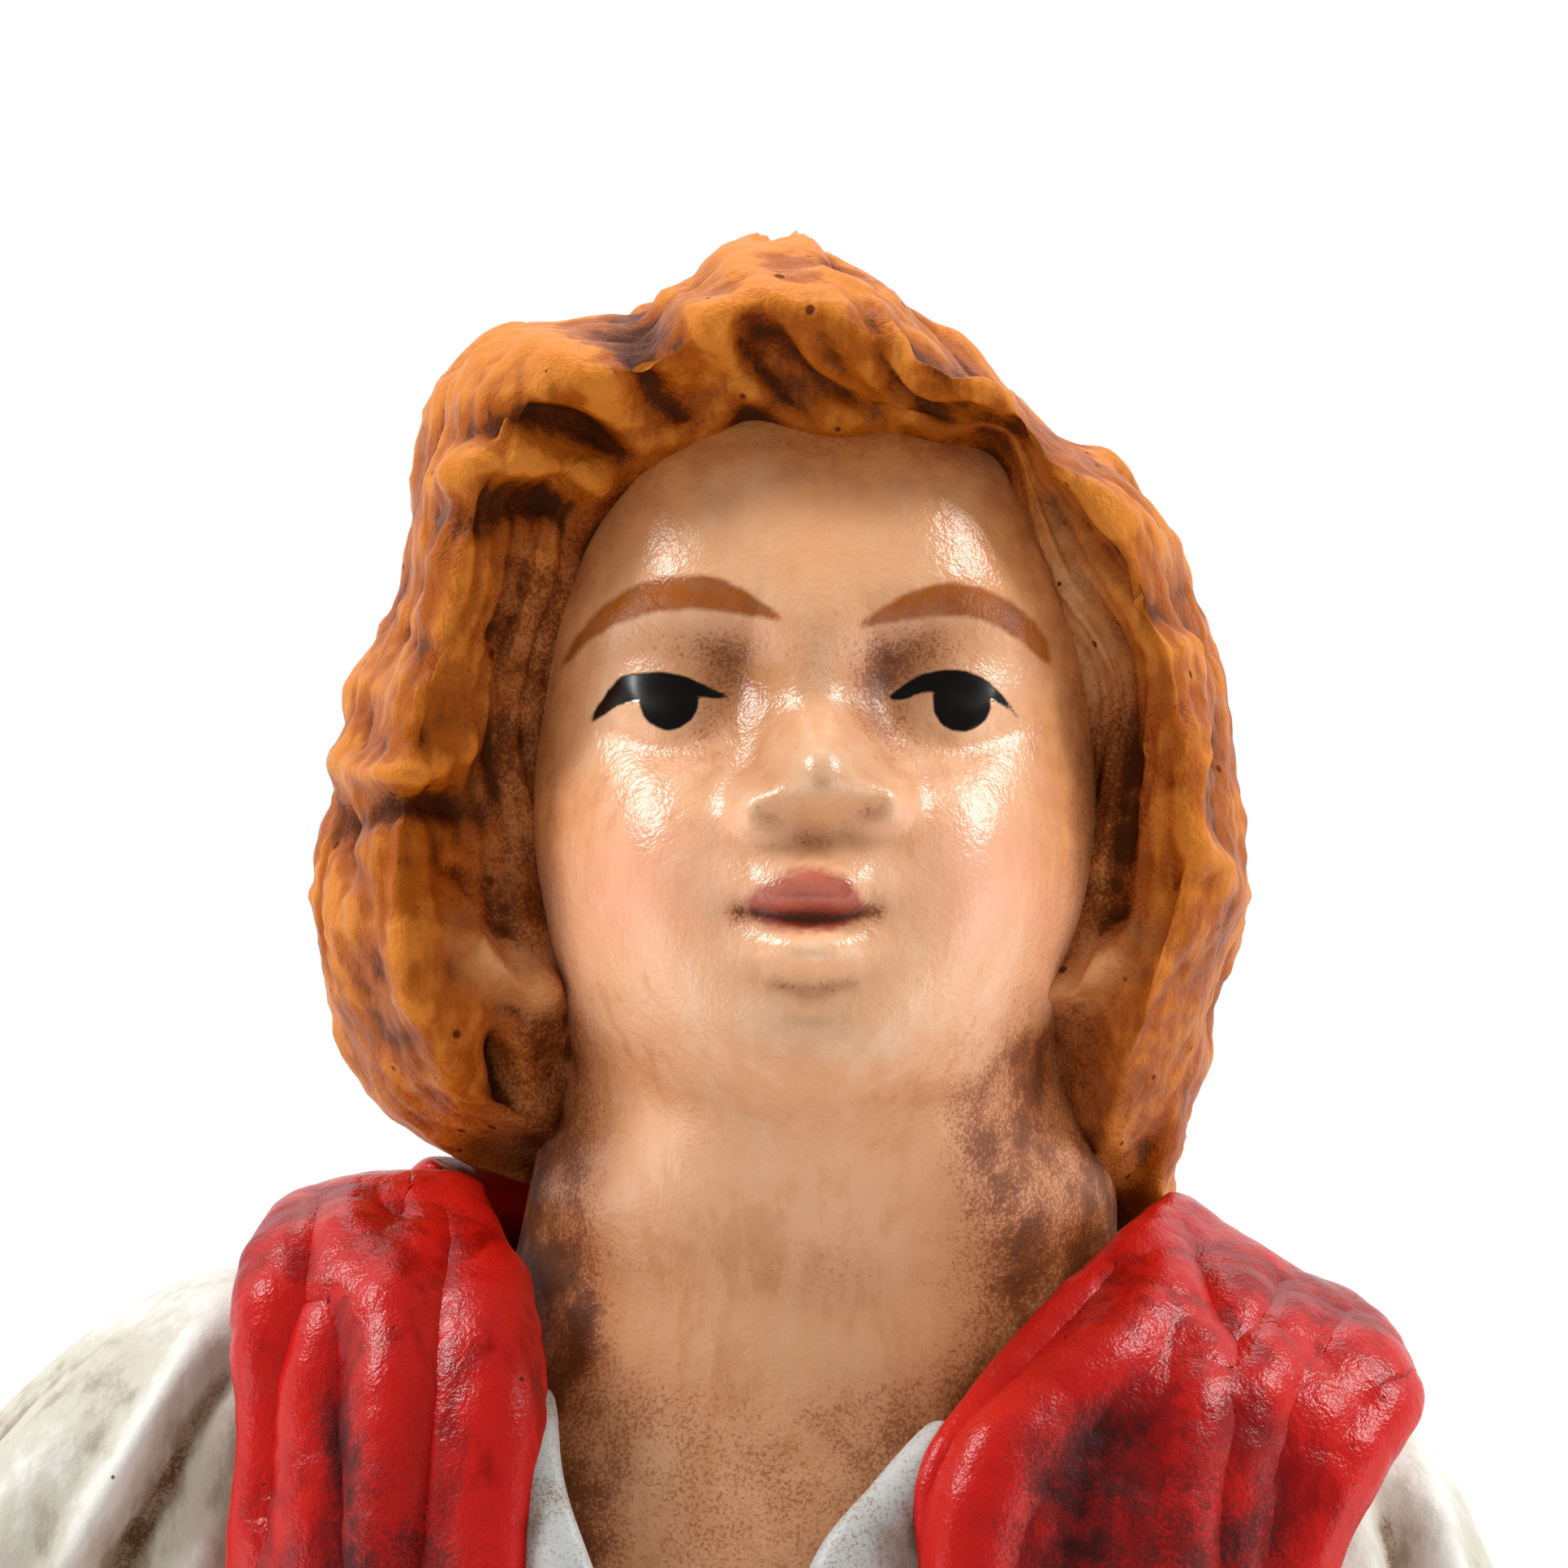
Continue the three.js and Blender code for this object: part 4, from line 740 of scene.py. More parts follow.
PATINA_AND_SHADOW_LINES = [
    ([(-2.3, 1.0), (-2.5, 0.0), (-3.4, -1.7)], 0.9, 0.5),  # inner corners of the eyes
    ([(1.7, 1.0), (1.8, 0.0), (2.1, -1.2)], 0.85, 0.68),
    # painted shadow just below the jaw line
    (JAW_LINE, 0.8, 0.22),
    ([(-1.9, -5.7), (0, -6.0), (1.7, -5.7)], 0.3, 0.3),  # between the lips and below them
    ([(-1.2, -7.6), (0, -7.8), (1.2, -7.6)], 0.6, 0.1),
    # painted shadow under the forelock, along the top of the forehead
    ([(-3, 7.8), (0, 7.0), (3.5, 7.0), (5.2, 6.4)], 1.0, 0.35),  # top of the forehead
    ([(-6.2, -14.2), (-6.3, -16.0), (-6.4, -17.6)], 0.5, 0.9),  # side of the neck
]
print("points round the face:", len(FACE_OPENING))

# %% Head piece
rings, facing = head_grid()
x = rings[..., 0]
h = rings[..., 2] - EYE_LINE
rings[..., 1] -= face_relief(x, h) * facing
in_front = facing > 0.02
lash = np.maximum(depth_inside(x, h, RIGHT_LASH), depth_inside(x, h, LEFT_LASH))
iris = np.maximum(*[IRIS_RADIUS - np.hypot(x - cx, h - cz) for cx, cz in IRISES])
below_lid = np.minimum(iris, 0.5 - h)
eyes = np.where(in_front, np.maximum(lash, below_lid), OUTSIDE)
brows = np.maximum(depth_inside(x, h, RIGHT_BROW), depth_inside(x, h, LEFT_BROW))
brows = np.where(in_front, brows, OUTSIDE)
lips = np.where(in_front, depth_inside(x, h, LIPS), OUTSIDE)
opening = depth_inside(x, rings[..., 2] - HEAD[2], FACE_OPENING)
gold_reach = np.where(x > 0, 3.4, 3.0)  # how far in from the hair the skin looks golden
fringe = soft_step(gold_reach - opening, 0, gold_reach + 0.3) * soft_step(h, -7.5, -2.5)
blush = pressed(x, h, BLUSH)
mouth = stroke(x, h, MOUTH_LINE, 0.16, 1.0) * in_front
jaw = 10.5 - 0.055 * x**2  # how far the jaw lies below the eyes
neck = soft_step(-h - jaw, 0, 1.4)
tan = soft_step(h, 0.5, 4.5) * 0.75 + neck * (0.4 + 0.6 * soft_step(np.abs(x + 1), 2, 6))
tan += pressed(x, h, strokes=NOSE_SIDE)
# A painted shadow just below the jaw, added to the painted shade.
shadow_under_jaw = 0.3 * np.exp(-(((-h - jaw - 0.8) / 0.8) ** 2))
shade = np.clip(pressed(x, h, SHADED) + shadow_under_jaw, 0, 1)
# Brown patina in the hollows of the face, with painted shadow below the jaw and under the forelock.
grime = pressed(x, h, GRIMY_SPOTS, PATINA_AND_SHADOW_LINES)
grime += soft_step(1.8 - opening, 0, 2.2) * 0.55 * soft_step(-h, -9, 2)
low_neck = soft_step(-h, 15, 24)
sides = np.maximum(soft_step(-x, 4.2, 8.2), soft_step(x, 2.2, 7.0))
low_sides = low_neck * soft_step(np.abs(x + 2.4), 1.0, 5.0)
grime += neck * (0.78 * sides + 0.2 * soft_step(x, 2.5, 5.0) + 0.2 * low_sides)
grime = np.clip(grime, 0, 1.2)
print("head grid:", x.shape)

# %% Flesh paint
flesh_paint, tree = new_material("flesh")
place = millimetres(tree)
paint = three_tones(tree, (252, 206, 168), (245, 187, 144), (224, 162, 114))
paint = tint(tree, paint, "tan", 0.8, mottled(tree, 0.5, (208, 142, 88), (220, 154, 102)))
paint = tint(tree, paint, "blush", 0.6, colour(238, 146, 116))
# Painted shade in olive brown over the face.
paint = tint(tree, paint, "shade", 0.6, colour(162, 102, 46))
paint = tint(tree, paint, "fringe", 0.9, mottled(tree, 0.9, (184, 102, 40), (224, 148, 80)))
wobble = times(tree, calc(tree, "SUBTRACT", noise(tree, place, 2.2, 3.0), 0.5), 0.16)
brow = ramp(tree, calc(tree, "MULTIPLY_ADD", wobble, 0.4, mark_of(tree, "brows")), -0.1, 0.1)
brow = times(tree, brow, ramp(tree, noise(tree, place, 1.6, 4.0), 0.0, 1.0, 0.85, 1.0))
paint = blend(tree, brow, paint, mottled(tree, 0.8, (134, 60, 2), (176, 92, 16)))
lip = times(tree, ramp(tree, calc(tree, "ADD", mark_of(tree, "lips"), wobble), -0.14, 0.22), 0.85)
paint = blend(tree, lip, paint, mottled(tree, 1.2, (156, 52, 44), (190, 82, 70)))
paint = tint(tree, paint, "mouth", 0.9, colour(84, 30, 22))
washed, satin, bump = finish_paint(tree, paint, amount=0.6, shine=0.25, pinholes=0.1,
                                   wash=colour(90, 42, 2), relief=0.2)
print("paint:", flesh_paint.name)

# %% Ink on the eyes
# The eyes are painted last, over the wash, in a smooth dark ink.
INK_ROUGHNESS = 0.15
grit = bump.inputs["Height"].links[0].from_socket
lash = ramp(tree, calc(tree, "MULTIPLY_ADD", wobble, 0.25, mark_of(tree, "eyes")), -0.04, 0.05)
ink = mottled(tree, 2.0, (6, 3, 2), (16, 8, 6), 3.0)
fill_named(bump, Height=times(tree, grit, calc(tree, "SUBTRACT", 1.0, lash)))
fill_named(tree.nodes["Principled BSDF"], Base_Color=blend(tree, lash, washed, ink),
           Roughness=mix_value(tree, lash, satin, INK_ROUGHNESS))
head_marks = dict(eyes=eyes, brows=brows, lips=lips, fringe=fringe, blush=blush, tan=tan, mouth=mouth,
                  shade=shade, grime=grime)
add_piece("head_and_breast", tube(rings), flesh_paint, "flesh_paint", ["head"], reach=0.8,
          **{name: with_ends(values) for name, values in head_marks.items()})

# %% [markdown]
# ## Hair
# The hair is clay pushed up in thick locks, with grooves and a few air holes, painted auburn. Strands
# would be wrong here. It is one skin wrapped round the face: two drawn lines, the opening for the face
# and the outline of the hair, both seen from the front, are joined all round by a profile that dips
# behind the hairline, rolls forward over a crest, and runs back to the back of the head. Rolls and
# grooves are then drawn on it as seen from the front, and from the crown wavy furrows run down the sides
# and the back and, fainter, over the top.

# %% Lines of the hair
# Outline of the hair as seen from the front, from the middle of the head: across and up.
HAIR_OUTLINE = [
    (-0.5, 16.05), (0.5, 15.8), (1.2, 15.3), (2.55, 14.3), (4.4, 13.05), (5.3, 12.1), (5.85, 11.4),
    (7.1, 10.4), (8.4, 9.7), (9.2, 8.85), (10.0, 7.6), (10.4, 6.4), (11.0, 5.4), (11.35, 4.0),
    (11.65, 1.4), (12.05, -0.4), (11.95, -1.8), (11.6, -3.2), (11.0, -5.0), (10.75, -6.8), (10.3, -8.0),
    (9.9, -9.5), (9.5, -10.8), (6.8, -11.8), (2.0, -11.0), (-3.0, -10.6), (-7.5, -10.0), (-9.7, -9.2),
    (-10.65, -8.8), (-11.6, -8.1), (-12.5, -6.5), (-13.1, -5.0), (-13.6, -3.2), (-13.75, -1.4),
    (-13.2, 1.5), (-12.65, 3.2), (-12.0, 5.0), (-11.1, 6.85), (-10.85, 8.2), (-10.75, 9.4), (-10.4, 11.4),
    (-9.4, 12.9), (-7.9, 13.55), (-6.5, 13.65), (-5.2, 13.9), (-3.35, 14.9), (-2.2, 15.85), (-1.1, 16.1),
]
RIGHT_LOBE = [(-9.5, -3.2), (-8.5, -3.9), (-7.0, -4.6)]
LEFT_LOBE = [(6.1, -4.5), (7.4, -4.1), (8.5, -3.2)]
# Rolls and grooves as seen from the front: path across and up from the middle of the head, width, height.
HAIR_STROKES = [
    ([(-9.8, 10.6), (-8.2, 11.0), (-6.6, 10.9), (-5.4, 10.2), (-4.7, 9.4)], 0.38, -0.95),
    ([(-9.6, 12.0), (-8.0, 12.6), (-6.2, 12.3), (-5.0, 11.2)], 0.8, 0.55),
    ([(-10.0, 9.2), (-8.2, 10.0), (-6.6, 9.8), (-5.3, 8.9)], 0.5, 0.8),
    ([(-9.2, 8.2), (-7.6, 8.7), (-6.3, 8.1)], 0.4, -0.6),
    ([(-4.6, 13.7), (-4.8, 12.8), (-4.4, 11.8), (-3.2, 10.9)], 0.5, -0.7),
    ([(-3.4, 14.2), (-2.2, 12.8), (-0.9, 11.3)], 0.6, 0.55),
    ([(-2.4, 13.6), (-1.4, 12.3), (-0.2, 11.0)], 0.26, -0.6),
    ([(-1.2, 14.6), (-0.2, 13.2), (0.9, 11.9), (1.6, 10.9)], 0.55, 0.5),
    ([(-0.8, 13.5), (-0.1, 12.5), (0.9, 11.8), (1.9, 11.0)], 0.26, -0.75),
    ([(0.4, 14.2), (1.4, 13.0), (2.4, 11.7), (3.2, 10.9)], 0.5, 0.5),
    ([(0.2, 14.9), (1.45, 14.2), (2.1, 13.2), (3.2, 12.0), (4.55, 11.9), (5.3, 11.5)], 0.24, 0.55),
    ([(2.4, 13.7), (3.6, 13.0), (4.9, 12.3)], 0.5, -1.1),
    ([(1.5, 13.5), (2.5, 12.1), (3.8, 11.0)], 0.24, -0.5),
    ([(-13.2, 0.9), (-13.1, -0.4), (-12.9, -1.6)], 0.4, -1.3),
    ([(-13.0, -0.3), (-11.6, 0.5), (-10.2, 0.5), (-9.1, 0.2)], 0.38, -0.8),
    ([(-13.0, 1.8), (-11.4, 1.3), (-10.1, 1.8), (-9.2, 3.0), (-9.0, 4.6)], 0.5, 0.6),
    ([(-12.3, 3.4), (-12.5, 2.3), (-12.8, 1.5)], 0.22, -0.6),
    ([(-11.5, 5.6), (-10.4, 4.4), (-10.2, 3.0)], 0.5, -0.4),
    ([(-10.6, 8.0), (-9.8, 6.4), (-10.2, 5.0)], 0.7, 0.45),
    ([(-9.6, -1.2), (-10.4, -3.4), (-10.2, -5.6)], 1.2, 0.5),
    ([(-11.9, -2.6), (-12.0, -5.0), (-10.8, -7.4)], 0.7, -0.3),
    ([(7.1, 9.6), (8.5, 8.3), (10.0, 7.0)], 0.5, 0.5),
    ([(6.2, 9.0), (7.8, 7.4), (9.0, 5.8)], 0.5, -0.4),
    ([(9.0, 6.3), (10.3, 5.4), (11.2, 4.8)], 0.3, -0.5),
    ([(8.9, 4.4), (9.7, 2.0), (9.6, -0.6)], 0.7, 0.35),
    ([(10.2, -0.2), (11.2, -1.6), (10.6, -3.2)], 0.45, 0.5),
    ([(9.3, -0.6), (9.9, -2.4), (9.4, -4.0)], 0.4, -0.35),
    ([(8.7, -3.6), (9.3, -5.6), (9.0, -7.4)], 0.5, -0.45),
    ([(-8.6, -5.9), (-8.3, -6.8), (-8.1, -7.7)], 0.3, -1.9),
    (RIGHT_LOBE, 0.5, 0.95),
    (LEFT_LOBE, 0.45, 0.95),
]
# Where the hair is painted light: both lobes and a lock beside the face.
LIGHT_STROKES = [
    (RIGHT_LOBE, 0.85, 1),
    (LEFT_LOBE, 0.8, 1),
    ([(5.9, 9.4), (6.6, 7.4), (7.4, 4.6), (7.7, 2.4)], 0.8, 0.5),
]
# Depth of the crest and of the hairline at angles round the face, in degrees clockwise from the top.
CREST_ANGLES = [0, 40, 90, 125, 150, 180, 210, 235, 270, 320, 360]
CREST_DEPTH = [-6.6, -5.4, -5.2, -4.0, 0.5, 6.0, 0.5, -4.0, -5.4, -6.0, -6.6]
HAIRLINE_DEPTH = [-5.2, -4.4, -3.9, -3.6, 1.5, 6.0, 1.5, -3.6, -3.9, -4.8, -5.2]
CROWN = np.array([-0.6, 4.6, 12.0])  # where the furrows at the back start, from the middle of the head
BACK_DEPTH = 12.4
# Shares of the outline and of the way to the back.
BACK_SHARES = [(0.93, 0.43), (0.74, 0.73), (0.42, 0.93), (0.02, 1.0)]
GROOVE_SHARE = 0.65  # how much of a groove's drawn depth is pressed


def reach_round(outline, angle):
    """How far a closed drawn line lies from the middle of the head in each direction, as a curve of the
    angle."""
    across, up = np.array(outline).T
    bearing = np.arctan2(across, up) % (2 * np.pi)
    order = np.argsort(bearing)
    bearing, far = bearing[order], np.hypot(across, up)[order]
    wrapped = np.concatenate([bearing[-3:] - 2 * np.pi, bearing, bearing[:3] + 2 * np.pi])
    return curve(angle, wrapped, np.concatenate([far[-3:], far, far[:3]]))


# %% Hair skin
ROWS, COLUMNS = 232, 424
around = np.linspace(0, 2 * np.pi, COLUMNS, endpoint=False)
line = reach_round(FACE_OPENING, around)
line = np.where(np.cos(around) > -0.2, line, np.minimum(line, 8.6))  # below, the hair closes behind the neck
edge = np.maximum(reach_round(HAIR_OUTLINE, around), line + 1.2)
crest = curve(np.degrees(around), CREST_ANGLES, CREST_DEPTH)
start = curve(np.degrees(around), CREST_ANGLES, HAIRLINE_DEPTH)
thick = edge - line
rim = np.maximum(1.7, crest + 3)
# Profile from inside the face, past the hairline, over the crest and the outline to the back: distance
# and depth.
profile = [
    (line - 2.4, start + 3.4), (line - 0.5, start + 1.0), (line + 0.07 * thick, start + 0.2),
    (line + 0.22 * thick, start + 0.1), (line + 0.52 * thick, 0.1 * start + 0.9 * crest),
    (line + 0.62 * thick, crest), (line + 0.84 * thick, crest + 2.8), (edge, rim)]
profile += [(edge * far, rim + (BACK_DEPTH - rim) * deep) for far, deep in BACK_SHARES]
stations = np.array([0, 0.05, 0.1, 0.15, 0.28, 0.36, 0.5, 0.6, 0.71, 0.82, 0.92, 1.0])
distance, depth = curve(np.linspace(0, 1, ROWS), stations, np.array(profile)).transpose(1, 0, 2)
skin = np.stack([distance * np.sin(around), depth, distance * np.cos(around)], -1)
print("hair grid:", skin.shape[:2])

# %% Locks of the hair
x, y, z = np.moveaxis(skin, -1, 0)
front = soft_step(-y, -4.5, -1.2)
relief = 0 * x
for path, width, height in HAIR_STROKES:
    relief += stroke(x, z, path, width, max(height, GROOVE_SHARE * height))
relief *= front
from_crown = skin - CROWN
turn = np.arctan2(from_crown[..., 0], from_crown[..., 1])
fall = np.linalg.norm(from_crown, axis=-1)
sway = 0.9 * np.sin(0.55 * fall + 2.0 * np.sin(turn)) + 0.4 * np.sin(1.3 * fall)
furrow = np.abs(np.sin(4.5 * turn + sway))
finer = np.sin(17 * turn + 1.6 * np.sin(0.7 * fall + 3 * turn))
top = soft_step(z, 7, 12) * soft_step(y, -5, -1) * front
relief += (1 - front + 0.3 * top) * soft_step(fall, 0, 6) * (1.3 * (furrow - 0.6) + 0.12 * finer)
strand = 3.4 * (distance - line) / thick + 0.3 * np.sin(3 * around + 1) + 0.16 * np.sin(8 * around + 2)
strands = 0.13 * np.sin(2 * np.pi * strand)
strands += 0.05 * np.sin(2 * np.pi * (2.7 * strand + 0.3 * np.sin(5 * around)))
at_sides = soft_step(np.abs(np.sin(around)), 0.45, 0.75) * soft_step(z, -9, 3)
relief += strands * front * at_sides * (distance < edge - 0.1)
marks = 0.11 * tool_marks(skin, 2.4, 3) + 0.05 * tool_marks(skin, 0.9, 4)
relief += marks * soft_step(fall, 0, 3)
opening = depth_inside(x, z, FACE_OPENING)
covered = soft_step(opening, -0.4, 0.6) * soft_step(-y, -6, -2)
way = normals(skin)
way *= np.where((way * skin).sum() < 0, -1, 1)
skin = skin + way * (relief * (1 - covered))[..., None]
recess = np.exp(-((np.minimum(opening + 0.6, 0) / 1.5) ** 2)) * front * (1 - 0.65 * soft_step(z, 6, 9.5))
recess *= 1 - soft_step(x, -1, 1) * soft_step(z, 2.5, 5.0)
lobe = pressed(x, z, strokes=LIGHT_STROKES)
low = soft_step(-z, 4.2, 7.5) * soft_step(9.4 - np.abs(x), 0, 2.5) * front
beside = np.exp(-((np.minimum(opening + 0.2, 0) / 1.2) ** 2)) * front * soft_step(9 - z, 0, 3)
valleys = top * soft_step(0.5 - furrow, 0, 0.5)
grime = np.clip(0.85 * recess * (1 - 0.9 * lobe) + 0.4 * low + 0.7 * valleys, 0, 1)
lobe = np.clip(lobe + 0.6 * beside + 0.5 * low, 0, 1)
print("strokes in the hair:", len(HAIR_STROKES))

# %% Hair paint
hair_paint, tree = new_material("auburn hair")
auburn = three_tones(tree, (214, 128, 44), (168, 84, 14), (106, 50, 8))
auburn = tint(tree, auburn, "lobe", 0.92, mottled(tree, 0.9, (222, 162, 110), (190, 122, 66)))
finish_paint(tree, auburn, amount=0.72, shine=0.36, pinholes=0.6, wash=colour(66, 32, 6), relief=0.5,
             varnish=0.08)
add_piece("hair", tube(skin + HEAD), hair_paint, "hair_paint",
          ["hair_cap", "hair_forelock", "hair_temple_lock", "hair_right_lock", "hair_left_lock"],
          reach=1.0, grime=with_ends(grime), lobe=with_ends(lobe * front))

# %% [markdown]
# ## Waistcoat
# The waistcoat is three thick sheets of clay laid over the shirt: two fronts and a back. Each sheet is
# stretched between two drawn edges, the opening and the armhole, from the hem up over the shoulder to the
# seam. Its folds are strokes seen from the front. A cloth simulation would give soft folds, but these
# were pressed with a tool.

# %% Waistcoat fronts
# Edges of each front from the hem to the shoulder seam: the opening, then the armhole.
RIGHT_OPENING = [
    (-6.2, -8.8, 90), (-6.8, -9.4, 100), (-7.6, -9.0, 108), (-7.9, -8.2, 112), (-7.3, -6.6, 116.8),
    (-8.0, -4.4, 119.5), (-8.9, -1.6, 121.2), (-9.4, 2.2, 121.6),
]
RIGHT_ARMHOLE = [
    (-13.4, -2.6, 90), (-14.0, -3.0, 100), (-15.0, -3.4, 108), (-15.3, -3.6, 112), (-15.2, -3.4, 116),
    (-15.7, -2.6, 118.8), (-15.1, -0.8, 120.5), (-13.8, 2.2, 121.0),
]
LEFT_OPENING = [
    (2.6, -9.6, 90), (2.9, -10.2, 100), (3.0, -9.8, 108), (2.9, -9.3, 112), (2.8, -8.7, 114.2),
    (4.2, -7.4, 116.4), (6.6, -5.0, 119.0), (8.6, -2.2, 120.9), (9.8, 1.6, 121.7),
]
LEFT_ARMHOLE = [
    (13.4, -3.6, 90), (13.4, -5.4, 100), (13.9, -6.0, 108), (14.2, -5.8, 112), (15.3, -5.0, 114),
    (16.4, -3.4, 115.9), (15.7, -1.6, 117.5), (14.9, 0.0, 118.3), (13.6, 1.6, 118.6),
]
# Folds as seen from the front: path across and up, width, height.
RIGHT_FOLDS = [
    ([(-13.2, 121.4), (-13.5, 119.4), (-14.2, 116.5), (-14.3, 113)], 0.4, -0.6),
    ([(-12.7, 118.6), (-12.6, 115.1), (-12.3, 111.9), (-11.8, 104), (-11.4, 93)], 0.55, -1.3),
    ([(-9.9, 120.4), (-10.1, 116.8), (-10.3, 114.6), (-10.6, 111.9), (-10.2, 104), (-9.6, 93)], 0.4, -0.75),
    ([(-14.6, 118.8), (-14.8, 115.2), (-14.85, 111.9), (-14.2, 104)], 0.45, 0.45),
    ([(-11.3, 118.6), (-11.2, 114.8), (-11.4, 111.9), (-11.0, 104), (-10.6, 93)], 0.5, 0.7),
    ([(-8.6, 119.2), (-8.65, 115.7), (-8.9, 111.9), (-8.5, 104), (-8.0, 93)], 0.6, 0.6),
    ([(-12.4, 121.6), (-11.4, 121.0), (-10.6, 121.3)], 0.7, -0.5),
]
LEFT_FOLDS = [
    ([(9.6, 118.9), (7.33, 116.6), (5.63, 115.3), (4.58, 113.6), (4.31, 111.9), (4.4, 105), (4.2, 94)],
     0.55, 0.75),
    ([(8.2, 119.2), (6.2, 117.0), (4.5, 115.2), (3.6, 113.5), (3.5, 111.5)], 0.35, -0.4),
    ([(9.2, 116.2), (7.3, 114.1), (6.6, 111.9), (6.4, 104), (6.2, 94)], 1.3, -0.7),
    ([(10.3, 116.2), (9.94, 113.6), (9.7, 111.0), (9.4, 103), (9.0, 94)], 0.45, 0.4),
    ([(11.1, 115.6), (10.7, 113.6), (10.6, 111.0), (10.4, 103), (10.2, 94)], 0.4, -0.5),
    ([(9.9, 120.2), (10.5, 118.9), (11.5, 117.0)], 0.45, -0.4),
    ([(12.6, 119.0), (11.9, 117.8), (11.3, 116.9)], 0.4, -0.35),
    ([(14.2, 117.6), (15.0, 117.1), (15.4, 116.2)], 0.7, 0.3),
    ([(15.8, 116.1), (13.9, 113.8), (13.1, 111.9), (12.6, 104)], 0.45, 0.5),
    ([(13.4, 117.2), (12.4, 114.8), (12.0, 111.9), (11.6, 104), (11.4, 94)], 0.6, -0.5),
]
VEST_THICKNESS = 1.9


def vest_front(opening, armhole, folds, bulge, shoulder):
    """A sheet between two edge curves, bowed outwards in the middle and up over the shoulder, with its
    folds."""
    sheet, u, v = sheet_between(opening, armhole, rows=260, columns=150)
    bow = 4 * u * (1 - u)
    upper = soft_step(v, 0.72, 1.0)
    sheet[..., 1] -= bulge * bow * (1 - upper)
    sheet[..., 2] += shoulder * bow * upper
    facing = 1 - soft_step(v, 0.86, 0.98)
    relief = pressed(sheet[..., 0], sheet[..., 2], strokes=folds) * facing
    way = normals(sheet)
    way *= np.where(way[..., 1:2].mean() > 0, -1, 1)
    relief += 0.07 * tool_marks(sheet, 3.4, 5) + 0.03 * tool_marks(sheet, 1.1, 6)
    relief *= soft_step(np.minimum(u, 1 - u), 0, 0.06)
    return slab(sheet + way * relief[..., None], rim_thickness(u, v, VEST_THICKNESS))


right_front = vest_front(RIGHT_OPENING, RIGHT_ARMHOLE, RIGHT_FOLDS, 2.2, 0.4)
x, _, z = right_front[0].T
# Painted shade: darker red low on the front and along its deep fold.
grime = pressed(x, z, [((-10.4, 111), (1.8, 4.2), 0.75)],
                [([(-12.9, 118), (-12.6, 114), (-12.0, 106)], 0.9, 0.9)])
add_piece("vest_right_front.skin", right_front, red_paint, "vest_paint", ["vest_right_front"], grime=grime)
left_front = vest_front(LEFT_OPENING, LEFT_ARMHOLE, LEFT_FOLDS, 2.0, -0.4)
x, _, z = left_front[0].T
# Painted shade: darker red low on the front, in two places.
grime = pressed(x, z, [((7.2, 113.2), (2.4, 3.8), 0.9), ((11.4, 111.5), (1.8, 4.2), 0.85)])
add_piece("vest_left_front.skin", left_front, red_paint, "vest_paint", ["vest_left_front"], grime=grime)

# %% Waistcoat back
# Rows of the back from the hem to the neck: height, half width, half depth, turn and slope in degrees,
# and the angles from the middle of the back to the right and the left edge.
BACK_ROWS = [
    (90.2, 11.9, 9.7, 0, 0, 98, 98),
    (94.9, 12.6, 10.0, -5, 0, 97, 98),
    (105.6, 13.3, 10.3, -10, 3, 70, 76),
    (110.0, 14.9, 9.8, -10, 5, 60, 66),
    (114.1, 15.8, 8.9, -10, 6, 62, 68),
    (118.7, 13.0, 7.4, -10, 6, 80, 86),
    (121.4, 10.4, 6.2, -10, 6, 90, 94),
]
BODY_SETBACK = 1.5
FOLD_PITCH = 7.0


def vest_back():
    """A sheet on ovals round the body, from the right edge to the left. Its long folds are a wave
    across."""
    v = np.linspace(0, 1, 220)
    u = np.linspace(-1, 1, 200)[None]
    rows = curve(v * (len(BACK_ROWS) - 1), np.arange(len(BACK_ROWS)), BACK_ROWS)
    z, width, depth, yaw, slope, right, left = rows.T[..., None]
    angle = np.radians(np.where(u < 0, right, left)) * u
    across = width * np.sin(angle)
    fall = soft_step(118.0 - z, 0, 9)
    out = 0.5 * fall * np.cos(angle) * np.cos(2 * np.pi * across / FOLD_PITCH)
    out += 0.14 * fall * np.sin(2.3 * across + 0.3 * np.sin(0.4 * z))
    out += stroke(across, z + 0 * u, [(-9, 116), (-5, 112), (-1, 110), (4, 111), (9, 114)], 1.0, -0.4)
    out *= soft_step(1 - np.abs(u), 0, 0.1)
    x, y = (width + out) * np.sin(angle), (depth + out) * np.cos(angle)
    yaw, slope = np.radians(yaw), np.radians(slope)
    turned = x * np.cos(yaw) - y * np.sin(yaw)
    behind = x * np.sin(yaw) + y * np.cos(yaw) + BODY_SETBACK
    sheet = np.stack([turned, behind, z - turned * np.tan(slope)], -1)
    u, v = np.meshgrid((u[0] + 1) / 2, v)
    return slab(sheet, rim_thickness(u, v, VEST_THICKNESS, 16))


add_piece("vest_back.skin", vest_back(), red_paint, "vest_paint", ["vest_back"])

# %% [markdown]
# ## Shirt
# The shirt is a body, two sleeves with cuffs and an open collar, in a greyed white with blue in the
# lights. The body and the sleeves are tubes whose radius carries the folds. Folds in clay have round
# backs and narrow valleys, which is the shape of the size of a sine wave.


